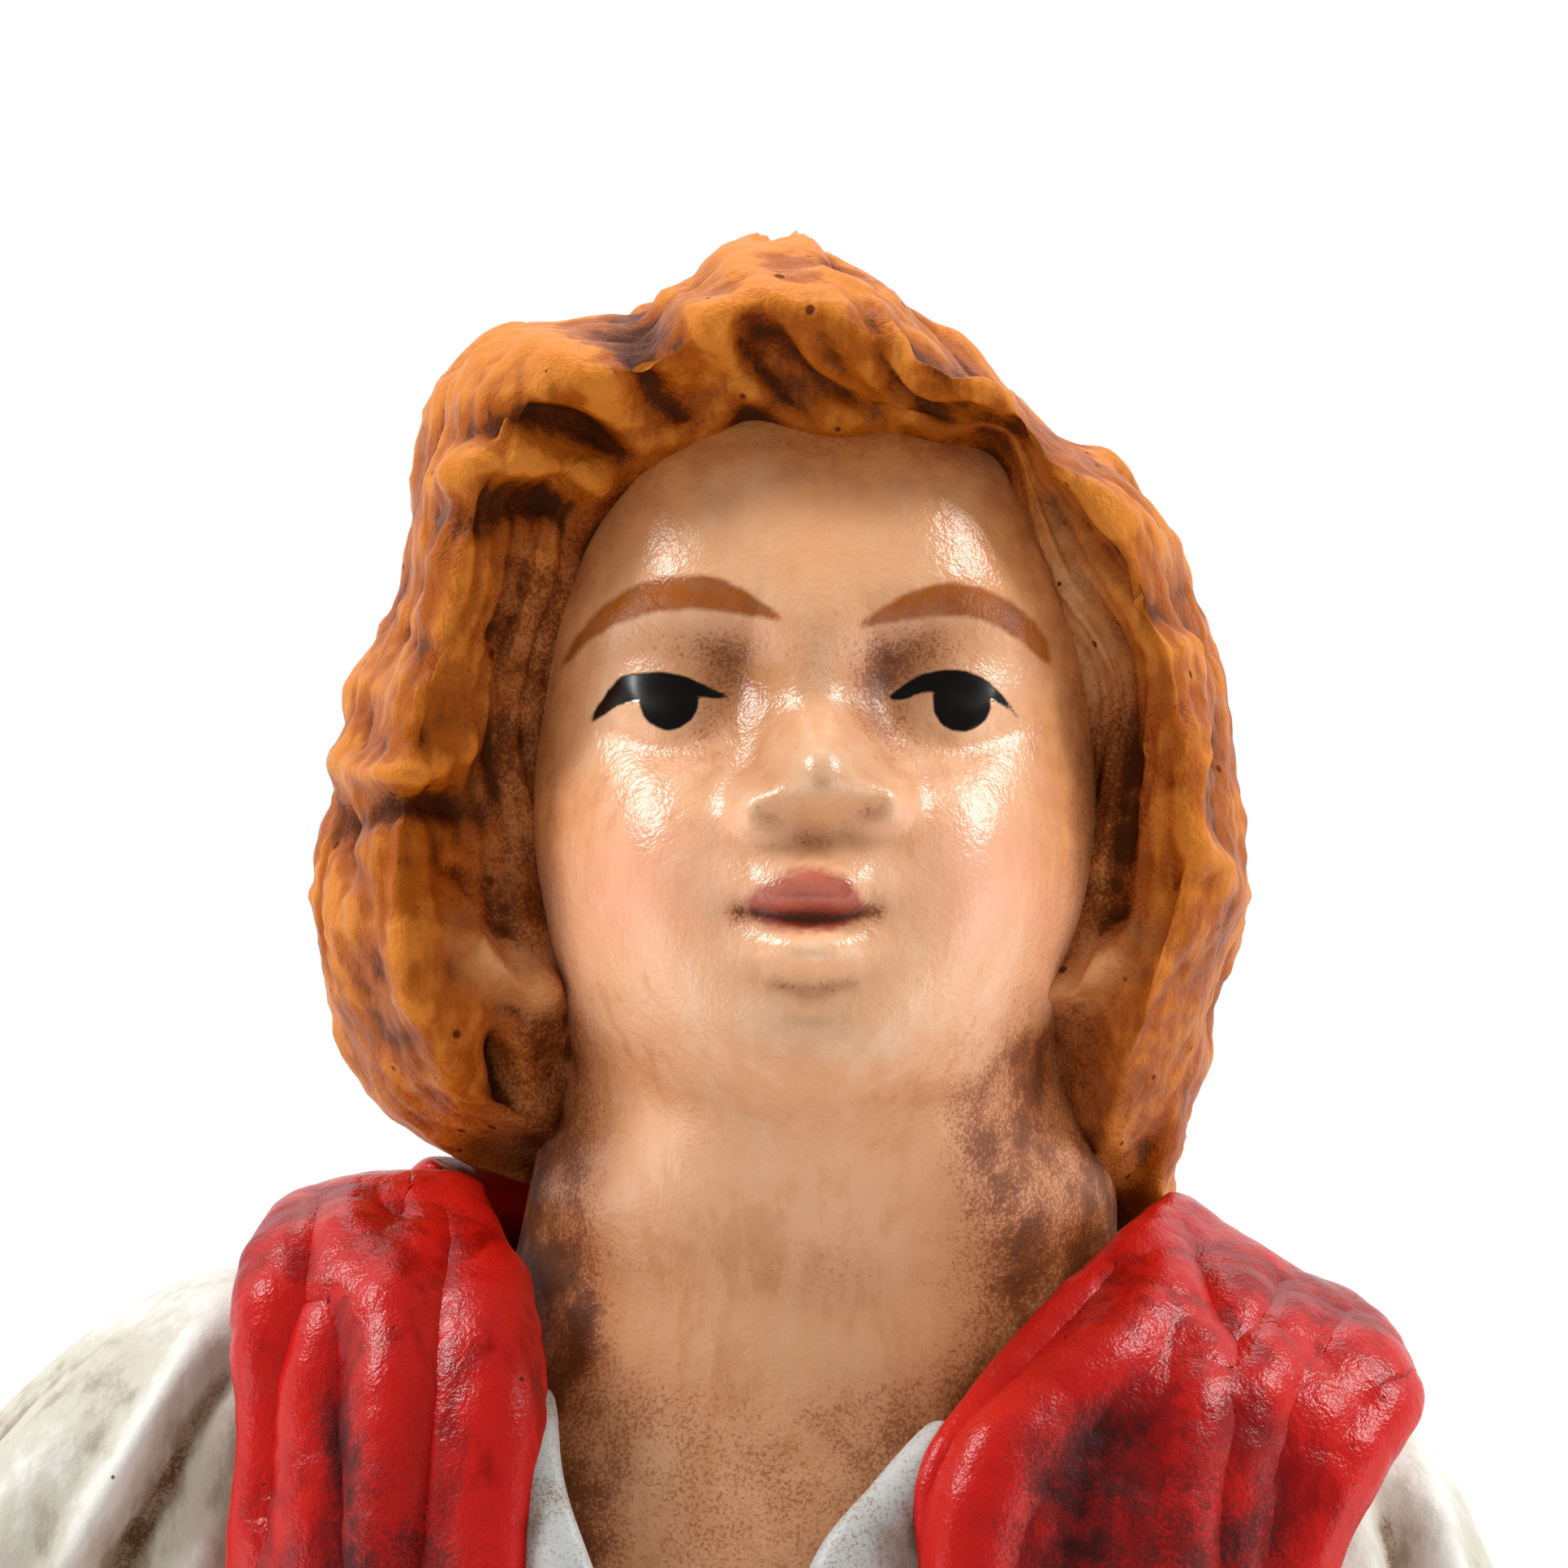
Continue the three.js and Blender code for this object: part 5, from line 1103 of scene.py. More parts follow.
# %% Shirt body
def oval_stack(levels, rows, columns, relief=None):
    """Rings on given levels: height, middle x and y, half width and half depth, each a smooth curve of
    the height."""
    levels = np.array(levels, float)
    share = np.linspace(0, 1, rows)
    z, cx, cy, width, depth = curve(share * (len(levels) - 1), np.arange(len(levels)), levels).T[..., None]
    turn = np.linspace(0, 2 * np.pi, columns, endpoint=False)[None]
    out = relief(z + 0 * turn, turn + 0 * z) if relief else 0
    x = cx + (width + out) * np.sin(turn)
    y = cy - (depth + out) * np.cos(turn)
    return np.stack([x, y, z + 0 * x], -1)


def shirt_folds(z, turn):
    """Soft folds that run down the body."""
    return 0.5 * np.abs(np.sin(5.5 * turn + 0.5 * np.sin(0.25 * z))) - 0.3 + 0.2 * np.sin(0.5 * z + 3 * turn)


SHIRT_LEVELS = [
    (84, 0, 1.5, 10.6, 8.4), (90, 0, 1.5, 10.8, 8.8), (96, 0, 1.5, 11.4, 9.2), (104, 0, 1.5, 12.0, 9.2),
    (110, 0, 1.6, 12.2, 8.6), (115, 0, 1.8, 11.6, 7.0), (118.5, -0.6, 2.0, 9.4, 5.2),
    (120, -0.8, 2.0, 7.0, 4.4),
]
shirt_body = tube(oval_stack(SHIRT_LEVELS, 150, 220, shirt_folds))
add_piece("shirt_body", shirt_body, shirt_paint, "shirt_paint", ["torso"])

# %% Sleeves
ARMS = {
    "right": dict(
        path=[(-9.4, 3.4, 114.6), (-14.5, 3.3, 114.9), (-21.4, 3.0, 109.4), (-29.5, 2.4, 101.2),
              (-33.6, -0.6, 97.0), (-36.6, -8.36, 90.1)],
        fore=np.array((-0.3011, -0.7226, -0.6222)),
        folds=[([(-16.2, 118.6), (-16.9, 117.2), (-17.8, 115.6), (-19.5, 112.8), (-22, 108.5)], 0.7, 0.8),
               ([(-15.6, 117.6), (-16.7, 116.3), (-18.1, 113.5), (-19.6, 110)], 0.55, -0.6),
               ([(-16.4, 112.6), (-17.6, 110.6), (-19, 108)], 0.6, 0.6)]),
    "left": dict(
        path=[(7.3, 0.2, 112.8), (12.6, 0.1, 112.0), (15.2, -0.3, 105.9), (19.2, -1.0, 95.6),
              (20.6, -4.5, 90.2), (19.9, -14.76, 85.1)],
        fore=np.array((-0.0503, -0.905, -0.4223)),
        folds=[([(16.4, 114.8), (17.2, 112.4), (17.8, 109.5)], 0.5, 0.5),
               ([(15.6, 113.6), (16.2, 111.6), (16.6, 109.0)], 0.45, -0.6)]),
}
SLEEVE_RADII = [4.2, 5.0, 5.2, 5.4, 5.3, 4.1]


def sleeve(arm):
    """A tube along the arm. Long folds wind down it, and rings of folds crowd inside the elbow."""
    def fold(t, turn):
        long = np.abs(np.sin(2.5 * turn + 5 * t + 0.8 * np.sin(9 * t)))
        rings = np.sin(46 * t + 1.5 * np.sin(2 * turn)) * np.exp(-(((t - 0.68) / 0.12) ** 2))
        return (0.9 * long - 0.6) * soft_step(t, 0.12, 0.3) * soft_step(0.99 - t, 0, 0.1) + 0.35 * rings
    rings = limb(arm["path"], SLEEVE_RADII, 190, 150, fold)
    way = rings - rings.mean(axis=1, keepdims=True)
    way /= np.linalg.norm(way, axis=-1, keepdims=True)
    facing = soft_step(-way[..., 1], -0.1, 0.35)
    relief = pressed(rings[..., 0], rings[..., 2], strokes=arm["folds"]) * facing
    return tube(rings + way * relief[..., None])


for side, arm in ARMS.items():
    add_piece(f"{side}_sleeve.skin", sleeve(arm), shirt_paint, "shirt_paint", [f"{side}_sleeve"])

# %% Collars
# Each flap of the open collar from the shoulder down: its edge on the breast, then its edge under the
# waistcoat.
FLAPS = {
    "right": (
        [(-7.4, -5.6, 116.6), (-6.9, -7.6, 114.2), (-6.1, -8.9, 112.2), (-4.6, -9.6, 108.5),
         (-2.6, -9.8, 104)],
        [(-8.6, -5.4, 116.4), (-9.0, -6.8, 114.0), (-9.0, -7.6, 112.0), (-8.6, -8.4, 108),
         (-7.6, -9.0, 104)]),
    "left": (
        [(3.6, -6.6, 115.6), (1.8, -8.0, 113.9), (0.3, -9.0, 112.4), (-0.9, -9.7, 109), (-2.0, -9.9, 104)],
        [(5.2, -6.6, 115.4), (4.6, -7.8, 113.4), (4.2, -8.4, 112), (4.0, -9.0, 108), (3.8, -9.4, 104)]),
}
FLAP_LIFT = 0.7
FLAP_DIRT = {"right": 0.45, "left": 0.4}


def flap(edges):
    """A sheet between two edges, rolled up towards the breast edge, with dents along it."""
    sheet, u, v = sheet_between(*edges, rows=120, columns=60)
    roll = FLAP_LIFT * np.exp(-(((u - 0.22) / 0.25) ** 2))
    dents = 0.18 * np.sin(13 * v + 3 * u) * soft_step(u, 0, 0.3)
    sheet[..., 1] -= roll + dents
    return slab(sheet, rim_thickness(u, v, 1.5, 8))


for side, edges in FLAPS.items():
    add_piece(f"{side}_collar.flap", flap(edges), collar_paint, "shirt_paint", [f"{side}_collar"],
              grime=[FLAP_DIRT[side]])

# %% Cuffs
CUFF_RADIUS = 4.4
CUFF_LENGTH = 3.2
FIT_GAP = 0.3


def cuff(arm):
    """A short gathered band past the end of the sleeve, fuller at its middle."""
    spots = [arm["path"][-1] + arm["fore"] * d for d in (0.1, 0.5, 1.7, CUFF_LENGTH - 0.2, CUFF_LENGTH + 0.2)]
    def gather(t, turn):
        return 0.22 * np.abs(np.sin(8 * turn + 0.6 * np.sin(3 * turn))) - 0.12
    radii = np.array([0.75, 0.98, 1.08, 1.0, 0.75]) * CUFF_RADIUS
    return tube(limb(spots, radii, 40, 120, gather))


for side, arm in ARMS.items():
    add_piece(f"{side}_cuff.band", cuff(arm), shirt_paint, "shirt_paint", [f"{side}_cuff"], reach=0.6)

# %% [markdown]
# ## Hands
# One hand is a fist closed round the crook, with a clear bore for it, and the other is held out open.
# Each finger is a bent tube, the palm is a flattened one, and the forms are pressed into one skin.

# %% Fist and open hand
STAFF_FOOT = np.array([-26.0, -10.0, 9.6])
STAFF_AXIS = np.array([-0.18199, -0.0778, 0.98022])
STAFF_RADIUS = 1.3
FINGER_RADIUS = 1.25
FINGER_PITCH = 2.1
FINGER_LENGTHS = [6.2, 7.4, 7.0, 5.4]  # past the palm, from the forefinger
HAND_REACH = 6.6
THUMB_GAP = 1.0


def unit(vector):
    """The same direction with length one."""
    return vector / np.linalg.norm(vector)


def hand_start(arm):
    """Where the hand comes out of its cuff."""
    return arm["path"][-1] + arm["fore"] * (CUFF_LENGTH + 2 * FIT_GAP)


def finger(points, radius):
    """A bent tube through a few points, thinner at its tip, closed by a round end."""
    points = np.asarray(points, float)
    beyond = points[-1] + unit(points[-1] - points[-2]) * radius * 0.6
    sizes = np.linspace(1.0, 0.82, len(points)) * radius
    return limb([*points, beyond], [*sizes, radius * 0.3], 26, 16, up=(0.31, 0.52, 0.8))


def fist(arm):
    """Four fingers and a thumb bent round the crook's line, and the back of the hand behind it."""
    fore = arm["fore"]
    start = hand_start(arm)
    palm = start + fore * HAND_REACH
    near = unit(-fore - STAFF_AXIS * (-fore @ STAFF_AXIS))
    across = np.cross(STAFF_AXIS, near)
    grip = STAFF_RADIUS + FIT_GAP + FINGER_RADIUS

    def curl(slide, first, last):
        angle = np.radians(np.linspace(first, last, 7))[:, None]
        return palm + STAFF_AXIS * slide + grip * (near * np.cos(angle) + across * np.sin(angle))

    forms = [finger(curl(n * FINGER_PITCH, 10, 250), FINGER_RADIUS) for n in (-1.5, -0.5, 0.5, 1.5)]
    forms.append(finger(curl(FINGER_PITCH * 1.9, 20, -125), FINGER_RADIUS))
    behind = palm + near * (grip + 1.4)
    forms.append(limb([start - fore * 2, start + fore, behind, behind - near], [2.6, 2.9, 2.9, 2.2], 30, 26))
    knuckles = [behind - STAFF_AXIS * 3.2, behind, behind + STAFF_AXIS * 3.4]
    forms.append(limb(knuckles, [1.6, 2.5, 1.8], 26, 26, up=fore))
    return pressing(forms, 0.26)


def open_hand(arm):
    """A flat palm turned up, four fingers side by side that lift at their tips, and a thumb set apart."""
    fore = arm["fore"]
    level = unit(np.array([0, 0, 1.0]) - fore * fore[2])
    across = np.cross(fore, level)
    start = hand_start(arm)

    def spot(side, reach, lift):
        return start + across * side + fore * reach + level * lift

    forms = []
    for n, length in zip((-1.5, -0.5, 0.5, 1.5), FINGER_LENGTHS):
        joints = [(0.8, HAND_REACH * 0.5, 0), (0.85, HAND_REACH, -0.2), (1, HAND_REACH + length * 0.55, 0.2),
                  (1, HAND_REACH + length * 0.9, 1.1)]
        forms.append(finger([spot(n * FINGER_PITCH * s, r, l) for s, r, l in joints], FINGER_RADIUS))
    apart = FINGER_PITCH * 1.5 + FINGER_RADIUS * 2 + THUMB_GAP
    bends = [(-1.6, 1.6, 0.2), (-apart * 0.75, HAND_REACH * 0.85, 0.9), (-apart, HAND_REACH * 1.3, 1.4)]
    forms.append(finger([spot(*bend) for bend in bends], FINGER_RADIUS))
    palm = [spot(0, -2, 0), spot(0, 1, 0), spot(0, HAND_REACH * 0.6, 0), spot(0, HAND_REACH * 1.15, 0)]
    forms.append(limb(palm, [2.7, 2.8, 4.3, 3.6], 30, 30, flat=0.5, up=level))
    return pressing(forms, 0.26)


add_piece("right_hand.fist", fist(ARMS["right"]), hand_paint, "flesh_paint", ["right_hand"], reach=0.7)
add_piece("left_hand.open", open_hand(ARMS["left"]), hand_paint, "flesh_paint", ["left_hand"], reach=0.7)

# %% [markdown]
# ## Sash, breeches, stockings and boots
# Below the waist the boy wears a sash wound round and knotted, full knee breeches, ribbed stockings and
# ankle boots. The wound cloth is a stack of ovals with slanting folds. The breeches and the boots are
# pressings, because legs run into hips and a foot into its shaft.

# %% Sash
def wound_cloth(z, turn):
    """Three turns of cloth that slant round the waist, with small creases."""
    slant = 0.35 * np.sin(turn - 0.6)
    turns = np.abs(np.sin(1.05 * (z - 80) + slant * 2.2 + 0.25 * np.sin(4 * turn)))
    return 1.0 * turns**0.8 - 0.5 + 0.1 * np.sin(9 * turn + 0.9 * z)


SASH_LEVELS = [
    (80.2, 0, 1.5, 11.2, 8.9), (81, 0, 1.5, 12.6, 9.9), (85, 0, 1.5, 12.4, 10.0),
    (88.6, 0, 1.5, 12.6, 10.2), (89.4, 0, 1.5, 11.2, 9.0),
]


def sash_tail(path, widths):
    """A hanging end: a sheet along a path, rippled across."""
    u, v = np.meshgrid(np.linspace(-1, 1, 46), np.linspace(0, 1, 90))
    middle = through(path, 90)[:, None]
    width = curve(v, np.linspace(0, 1, len(widths)), widths)
    outwards = unit(np.array([0.55, -0.83, 0.0]))
    along = unit(np.array([0.83, 0.55, 0.0]))
    ripple = 0.4 * np.sin(4.5 * u + 3 * v) + 0.15 * np.sin(11 * u)
    sheet = middle + along * (u * width)[..., None] + outwards * ripple[..., None]
    return slab(sheet, rim_thickness((u + 1) / 2, v, 1.1, 8))


wraps = tube(oval_stack(SASH_LEVELS, 110, 220, wound_cloth))
add_piece("sash.wraps", wraps, sash_paint, "sash_paint", ["sash"])
KNOT = np.array([7.2, -7.6, 84.6])
# Loops and ends of the knot, from its middle, each with its radii or half widths.
LOOPS = [
    ([(-1.6, 0.9, 1.5), (-0.4, -0.9, 0.6), (1.3, -0.3, -1.0), (1.8, 0.9, -1.6)], [1.2, 1.9, 1.8, 1.1]),
    ([(1.5, 0.2, 1.8), (0.2, -1.1, 0.3), (-1.3, -0.4, -1.7)], [1.2, 1.6, 1.1]),
]
TAILS = [
    ([(0.2, 0, -0.5), (0.6, -0.5, -4), (0.2, 0.2, -9), (0.9, 0.4, -13.5)], [1.0, 1.7, 2.2, 2.5]),
    ([(1.2, 0.6, -0.5), (2.4, 0.6, -3.5), (3.2, 1.2, -7), (3.8, 1.6, -10)], [0.9, 1.5, 1.9, 2.1]),
]
knot_forms = [limb(KNOT + loop, radii, 30, 24) for loop, radii in LOOPS]
add_piece("sash.knot", pressing(knot_forms, 0.25), sash_paint, "sash_paint", ["sash"], reach=0.6)
for number, (path, widths) in enumerate(TAILS, 1):
    tail = sash_tail(KNOT + path, widths)
    add_piece(f"sash.tail_{number}", tail, sash_paint, "sash_paint", ["sash"], reach=0.7)

# %% Breeches
# Heights of the legs.
SOLE = 9.6
BOOT_TOP = 29.6
HEM = 42.6
CROTCH = 70.6
# Ankle, hip and the way out for each leg.
LEGS = {"right": ((-8.6, 2.5), (-6.6, 1.5), -1), "left": ((8.4, -1.0), (6.6, 1.5), 1)}


def leg_at(side, z):
    """The middle of a leg at a height, on the straight line from the ankle to the hip."""
    ankle, hip, _ = LEGS[side]
    t = (z - SOLE) / (CROTCH - SOLE)
    return np.array([ankle[0] + (hip[0] - ankle[0]) * t, ankle[1] + (hip[1] - ankle[1]) * t, z])


def along_leg(side, heights, radii, rows, columns, fold):
    """A tube along a leg, with a radius for each height."""
    return limb([leg_at(side, z) for z in heights], radii, rows, columns, fold, up=(0, 1, 0))


def breeches_leg(side):
    """A full leg gathered at the knee, with folds that hang from the seat and bunch above the band."""
    def fold(t, turn):
        gathers = np.abs(np.sin(7 * turn + 0.8 * np.sin(2 * turn))) * np.exp(-(((t - 0.12) / 0.14) ** 2))
        drapes = np.abs(np.sin(2.5 * turn + 5 * t + np.sin(5 * t))) * soft_step(t, 0.12, 0.4)
        return 0.7 * gathers + 0.8 * drapes - 0.5
    heights = (HEM - 0.2, HEM + 0.9, HEM + 1.6, HEM + 6, HEM + 14, HEM + 22, CROTCH + 4)
    radii = [5.2, 5.9, 5.7, 7.4, 7.9, 8.0, 6.6]
    return along_leg(side, heights, radii, 110, 120, fold)


def seat_folds(z, turn):
    """Creases that run up from the fork."""
    return 0.35 * np.abs(np.sin(4 * turn + 0.25 * z)) - 0.2


SEAT = [
    (66.6, 0, 1.5, 7.0, 6.2), (68.5, 0, 1.5, 11.4, 9.0), (73, 0, 1.5, 14.0, 10.4),
    (79, 0, 1.5, 12.8, 9.8), (84.6, 0, 1.5, 10.8, 8.6),
]
breeches_forms = [oval_stack(SEAT, 60, 120, seat_folds), breeches_leg("right"), breeches_leg("left")]
add_piece("breeches.cloth", pressing(breeches_forms, 0.36, 4), breeches_paint, "breeches_paint", ["breeches"])

# %% Stockings
def stocking(side):
    """A ribbed tube over the calf, wrinkled a little above the boot."""
    def ribs(t, turn):
        wrinkle = np.sin(26 * t + 1.2 * np.sin(2 * turn)) * np.exp(-((t / 0.22) ** 2))
        return 0.13 * np.abs(np.sin(15 * turn)) + 0.22 * wrinkle
    heights = (BOOT_TOP - 2.5, BOOT_TOP + 2.5, (BOOT_TOP + HEM) / 2, HEM - 2, HEM + 1.2)
    return tube(along_leg(side, heights, [4.6, 4.7, 5.2, 4.8, 4.6], 90, 240, ribs))


for side in LEGS:
    add_piece(f"{side}_stocking.knit", stocking(side), stocking_paint, "stocking_paint",
              [f"{side}_stocking"], reach=0.4)

# %% Boots
TOE_OUT = np.radians(18)
# Instep, toe, sole and heel: how far ahead of the ankle and above the sole, and half sizes.
FOOT_FORMS = [
    (4.2, 1.6, (4.1, 9.6, 4.6)),
    (9.8, 1.9, (4.0, 4.6, 3.4)),
    (4.4, 0.5, (4.6, 10.6, 1.3)),
    (-3.2, 1.0, (4.0, 3.6, 2.2)),
]


def boot(side):
    """A shaft with a rolled top, a foot, a rounded toe and a heel, all flat on the ground."""
    out = LEGS[side][2]
    toe = np.array([out * np.sin(TOE_OUT), -np.cos(TOE_OUT), 0])
    turn = out * TOE_OUT
    ankle = leg_at(side, SOLE)
    def creases(t, a):
        return 0.3 * np.sin(30 * t + 1.2 * np.sin(2 * a)) * np.exp(-(((t - 0.38) / 0.16) ** 2))
    heights = (SOLE + 0.5, SOLE + 5, SOLE + 11, SOLE + 16, SOLE + 17.4, SOLE + 18.6, SOLE + 19.9)
    radii = [4.4, 4.4, 4.5, 5.0, 5.6, 5.8, 4.9]
    forms = [along_leg(side, heights, radii, 100, 80, creases)]
    for ahead, up, size in FOOT_FORMS:
        forms.append(ellipsoid(ankle + toe * ahead + (0, 0, up), size, turn))
    across = np.array([-toe[1], toe[0], 0]) * 1.9
    down = toe * 0.2 + (0, 0, 0.7)
    for row in range(4):
        spot = ankle + toe * (7.2 - 1.2 * row) + (0, 0, 5.3 + 0.9 * row)
        lace = [spot - across - down, spot, spot + across - down]
        forms.append(limb(lace, [0.4, 0.55, 0.4], 16, 12))
    points, cells = pressing(forms, 0.28, 3)
    points[:, 2] = np.maximum(points[:, 2], SOLE - 0.25)
    return points, cells


for side in LEGS:
    add_piece(f"{side}_boot.leather", boot(side), boot_paint, "boot_paint", [f"{side}_boot"], reach=0.7)

# %% [markdown]
# ## Ground and crook
# The boy stands on a low mound of earth with grass, and the crook is a thin stick of real wood, steamed
# into a hook. It slides up through the fist. The earth is a stack of ovals whose edge is roughened by
# sums of sine waves, and the crook is a tube with a few knots.

# %% Ground
BASE_HEIGHT = 9.3


def earth(z, turn):
    """Clods and hollows round the edge of the mound: a few sine waves of different lengths."""
    clods = np.sin(5 * turn + 0.4 * z) + 0.7 * np.sin(11 * turn - 0.9 * z) + 0.5 * np.sin(23 * turn + 1.6 * z)
    return 0.34 * clods * soft_step(z, 0.2, 2.5)


GROUND_LEVELS = [
    (0, -5, 0, 35.0, 24.0), (0.7, -5, 0, 35.7, 24.7), (3, -5, 0, 35.6, 24.6), (6.2, -5, 0, 34.6, 23.6),
    (8.4, -5, 0, 32.4, 21.4), (9.2, -5, 0, 29.6, 18.6), (9.3, -5, 0, 20, 12), (9.3, -5, 0, 1, 0.7),
]
mound = oval_stack(GROUND_LEVELS, 190, 400, earth)
x, y, z = np.moveaxis(mound, -1, 0)
patches = np.sin(0.5 * x + 1.3 * np.sin(0.33 * y)) * np.sin(0.55 * y + 1.1 * np.sin(0.41 * x))
stones = np.sin(1.7 * x + 0.8 * np.sin(0.9 * y)) * np.sin(1.9 * y + 0.7 * np.sin(1.1 * x))
pebbles = np.maximum(stones - 0.35, 0)
mound[..., 2] = np.where(z > 1, np.minimum(z - 0.35 + 0.3 * patches + 0.3 * pebbles, BASE_HEIGHT), z)
add_piece("ground_base.earth", tube(mound), ground_paint, "ground_paint", ["ground_base"], reach=1.4)

# %% Crook
STAFF_LENGTH = 116.0
HOOK_RADIUS = 5.5
hook_side = unit(np.array([-1.0, 0, 0]) - STAFF_AXIS * -STAFF_AXIS[0])
sweep = np.radians(180 - np.linspace(0, 215, 14))[:, None]
hook_centre = STAFF_FOOT + STAFF_AXIS * STAFF_LENGTH + hook_side * HOOK_RADIUS
hook = hook_centre + HOOK_RADIUS * (hook_side * np.cos(sweep) + STAFF_AXIS * np.sin(sweep))
stem = STAFF_FOOT + STAFF_AXIS * np.linspace(0, 0.96 * STAFF_LENGTH, 9)[:, None]
crook_path = np.vstack([stem, hook])
crook_radii = np.concatenate([np.linspace(1.28, 1.3, 21), [1.3, 1.0]])


def knots(t, turn):
    """A few low knots on the stick, each a dab on one side."""
    rise = 0.035 * np.sin(2 * turn + 30 * t)
    for spot, way in ((0.18, 0.6), (0.55, 3.4), (0.71, 5.2)):
        rise = rise + 0.16 * np.exp(-(((t - spot) / 0.008) ** 2)) * soft_step(np.cos(turn - way), 0.2, 1)
    return rise


bare_wood, tree = new_material("crook wood")
grain = noise(tree, millimetres(tree, (3.2, 3.2, 0.22)), 0.9, 6.0, 0.62)
fibre = noise(tree, millimetres(tree, (9, 9, 0.3)), 1.0, 3.0)
tone = sum_of(tree, (grain, 0.65), (fibre, 0.35))
bark = blend(tree, ramp(tree, tone, 0.1, 0.9), colour(74, 46, 26), colour(152, 110, 70))
wood_bump = node(tree, "Bump", Height=tone, Strength=0.35, Distance=0.1 * MM)
fill_named(tree.nodes["Principled BSDF"], Base_Color=bark, Normal=wood_bump.outputs["Normal"],
           Roughness=ramp(tree, tone, 0.0, 1.0, 0.62, 0.45))
stick = tube(limb(crook_path, crook_radii, 420, 40, knots, up=(0, 1, 0)))
add_piece("crook.stick", stick, bare_wood, "bare_wood", ["crook"], body="crook", reach=0.4)

# %% [markdown]
# ## Inside
# A dowel holds the head, wires the arms and rods the legs. They are plain round stock that the CAD model
# already has, so those solids stay and only get their finish: bare wood for the dowel and drawn steel for
# the rest.

# %% Inner parts
steel, tree = new_material("drawn steel")
lines = noise(tree, millimetres(tree, (14, 14, 0.4)), 1.0, 3.0)
drawn = blend(tree, lines, colour(150, 150, 152), colour(196, 196, 198))
fill_named(tree.nodes["Principled BSDF"], Metallic=1.0, Base_Color=drawn,
           Roughness=ramp(tree, lines, 0.0, 1.0, 0.28, 0.45))
INNER = {"neck_dowel": bare_wood, "right_arm_wire": steel, "left_arm_wire": steel, "right_leg_rod": steel,
         "left_leg_rod": steel}
for name, material in INNER.items():
    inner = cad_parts[name]
    if not inner.material_slots:
        inner.data.materials.append(material)
    for finish_slot in inner.material_slots:
        finish_slot.material = material
print("inner parts:", len(INNER))

# %% [markdown]
# ## Camera and light
# The photograph is a close view from straight ahead, with the lens level with the face, in soft light
# from both sides on white. A long lens far away keeps the sides parallel. Bigger lamps would whiten the
# background too, but they would bleach the paint. So the world shows white to the camera and gives the
# object less light than that, the varnish mirrors a dim room in front, and the floor is plain and pale.

# %% Camera
FRAME_WIDTH = 42.5  # mm of the object across the picture
VIEW_DISTANCE = 520.0
VIEW_CENTRE = (-0.75, -8.0, 133.1)
camera = bpy.data.objects.new("camera", bpy.data.cameras.new("camera"))
bpy.context.scene.collection.objects.link(camera)
camera.data.sensor_width = 36
camera.data.lens = 36 * VIEW_DISTANCE / FRAME_WIDTH
camera.data.clip_start = 0.01
camera.location = (VIEW_CENTRE[0] * MM, (VIEW_CENTRE[1] - VIEW_DISTANCE) * MM, VIEW_CENTRE[2] * MM)
camera.rotation_euler = (np.pi / 2, 0, 0)
bpy.context.scene.camera = camera
bpy.context.scene.view_settings.view_transform = "Standard"
print("lens:", round(camera.data.lens, 1), "mm")


# %% Lights
def soft_light(name, place, aim, width, height, power):
    """A lamp box at a place, turned to a point, with a strength in watts."""
    lamp = bpy.data.objects.new(name, bpy.data.lights.new(name, "AREA"))
    lamp.data.shape = "RECTANGLE"
    lamp.data.size = width * MM
    lamp.data.size_y = height * MM
    lamp.data.energy = power
    way = Vector(aim) - Vector(place)
    lamp.rotation_euler = way.to_track_quat("-Z", "Y").to_euler()
    lamp.location = Vector(place) * MM
    bpy.context.scene.collection.objects.link(lamp)


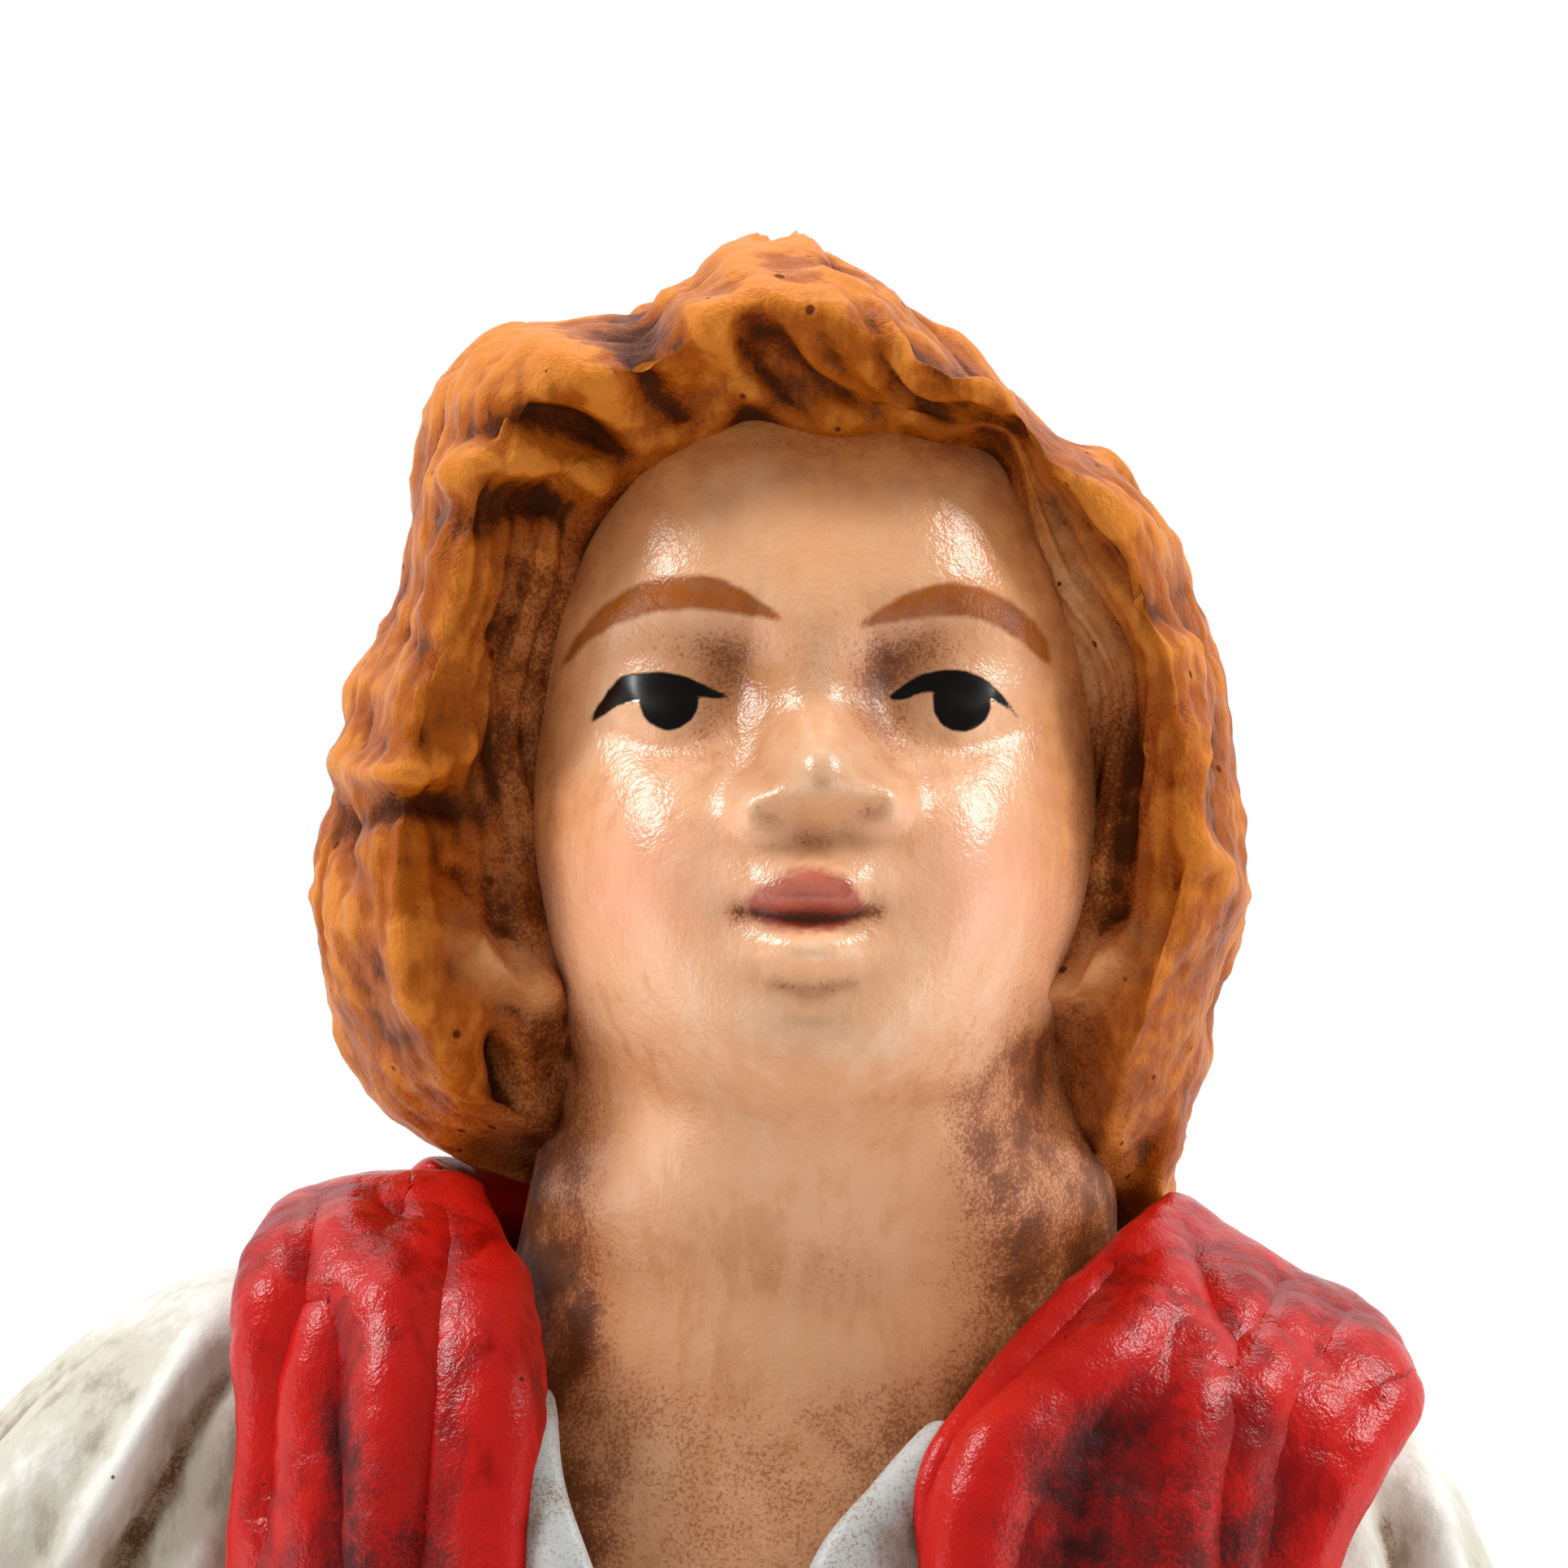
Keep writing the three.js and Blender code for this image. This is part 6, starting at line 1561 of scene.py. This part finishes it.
# Place, aim, width, height and power of each lamp, in millimetres and watts.
LAMPS = {
    "left softbox": ((-318, -23, 455), (0, -4, 135), 95, 180, 1.3),
    "right softbox": ((318, -23, 455), (0, -4, 135), 95, 180, 1.25),
    "top softbox": ((0, 170, 470), (0, 0, 130), 200, 200, 0.4),
    "left reflector": ((-330, -60, 70), (0, -4, 128), 200, 200, 0.26),
    "right reflector": ((330, -60, 70), (0, -4, 128), 200, 200, 0.24),
}
for name, lamp in LAMPS.items():
    soft_light(name, *lamp)
print("lamps:", len(LAMPS))

# %% White background
world = bpy.data.worlds.new("studio")
bpy.context.scene.world = world
world.use_nodes = True
tree = world.node_tree
path = node(tree, "LightPath").outputs
ways = node(tree, "SeparateXYZ", Vector=node(tree, "TexCoord").outputs["Generated"]).outputs
# The room gives a little less light in front than behind.
room = ramp(tree, ways["Y"], -0.9, 0.1, 0.5, 0.6)
# Varnish shows the dim room in front and the white behind.
mirrored = ramp(tree, ways["Y"], -0.5, 0.5, 0.12, 1.0)
shown = mix_value(tree, path["Is Glossy Ray"], room, mirrored)
seen = calc(tree, "MAXIMUM", path["Is Camera Ray"], path["Is Transmission Ray"])
strength = mix_value(tree, seen, shown, 1.0)
fill_named(tree.nodes["Background"], Color=(1, 1, 1, 1), Strength=strength)
print("world:", world.name)

# %% Floor
FLOOR_REACH = 1.3  # metres each way
floor_mesh = bpy.data.meshes.new("floor")
floor_corners = [(x * FLOOR_REACH, y * FLOOR_REACH, 0) for x, y in ((-1, -1), (1, -1), (1, 1), (-1, 1))]
floor_mesh.from_pydata(floor_corners, [], [(0, 1, 2, 3)])
floor = bpy.data.objects.new("floor", floor_mesh)
bpy.context.scene.collection.objects.link(floor)
floor_paint, tree = new_material("floor")
away = node(tree, "VectorMath", {"operation": "LENGTH"}, Vector=millimetres(tree)).outputs["Value"]
fill_named(tree.nodes["Principled BSDF"], Roughness=0.8,
           Base_Color=mottled(tree, 0.02, (240, 240, 238), (246, 246, 245)),
           Alpha=ramp(tree, away, 90.0, 420.0, 1.0, 0.0))
floor_mesh.materials.append(floor_paint)
print("floor:", 2 * FLOOR_REACH, "m wide")
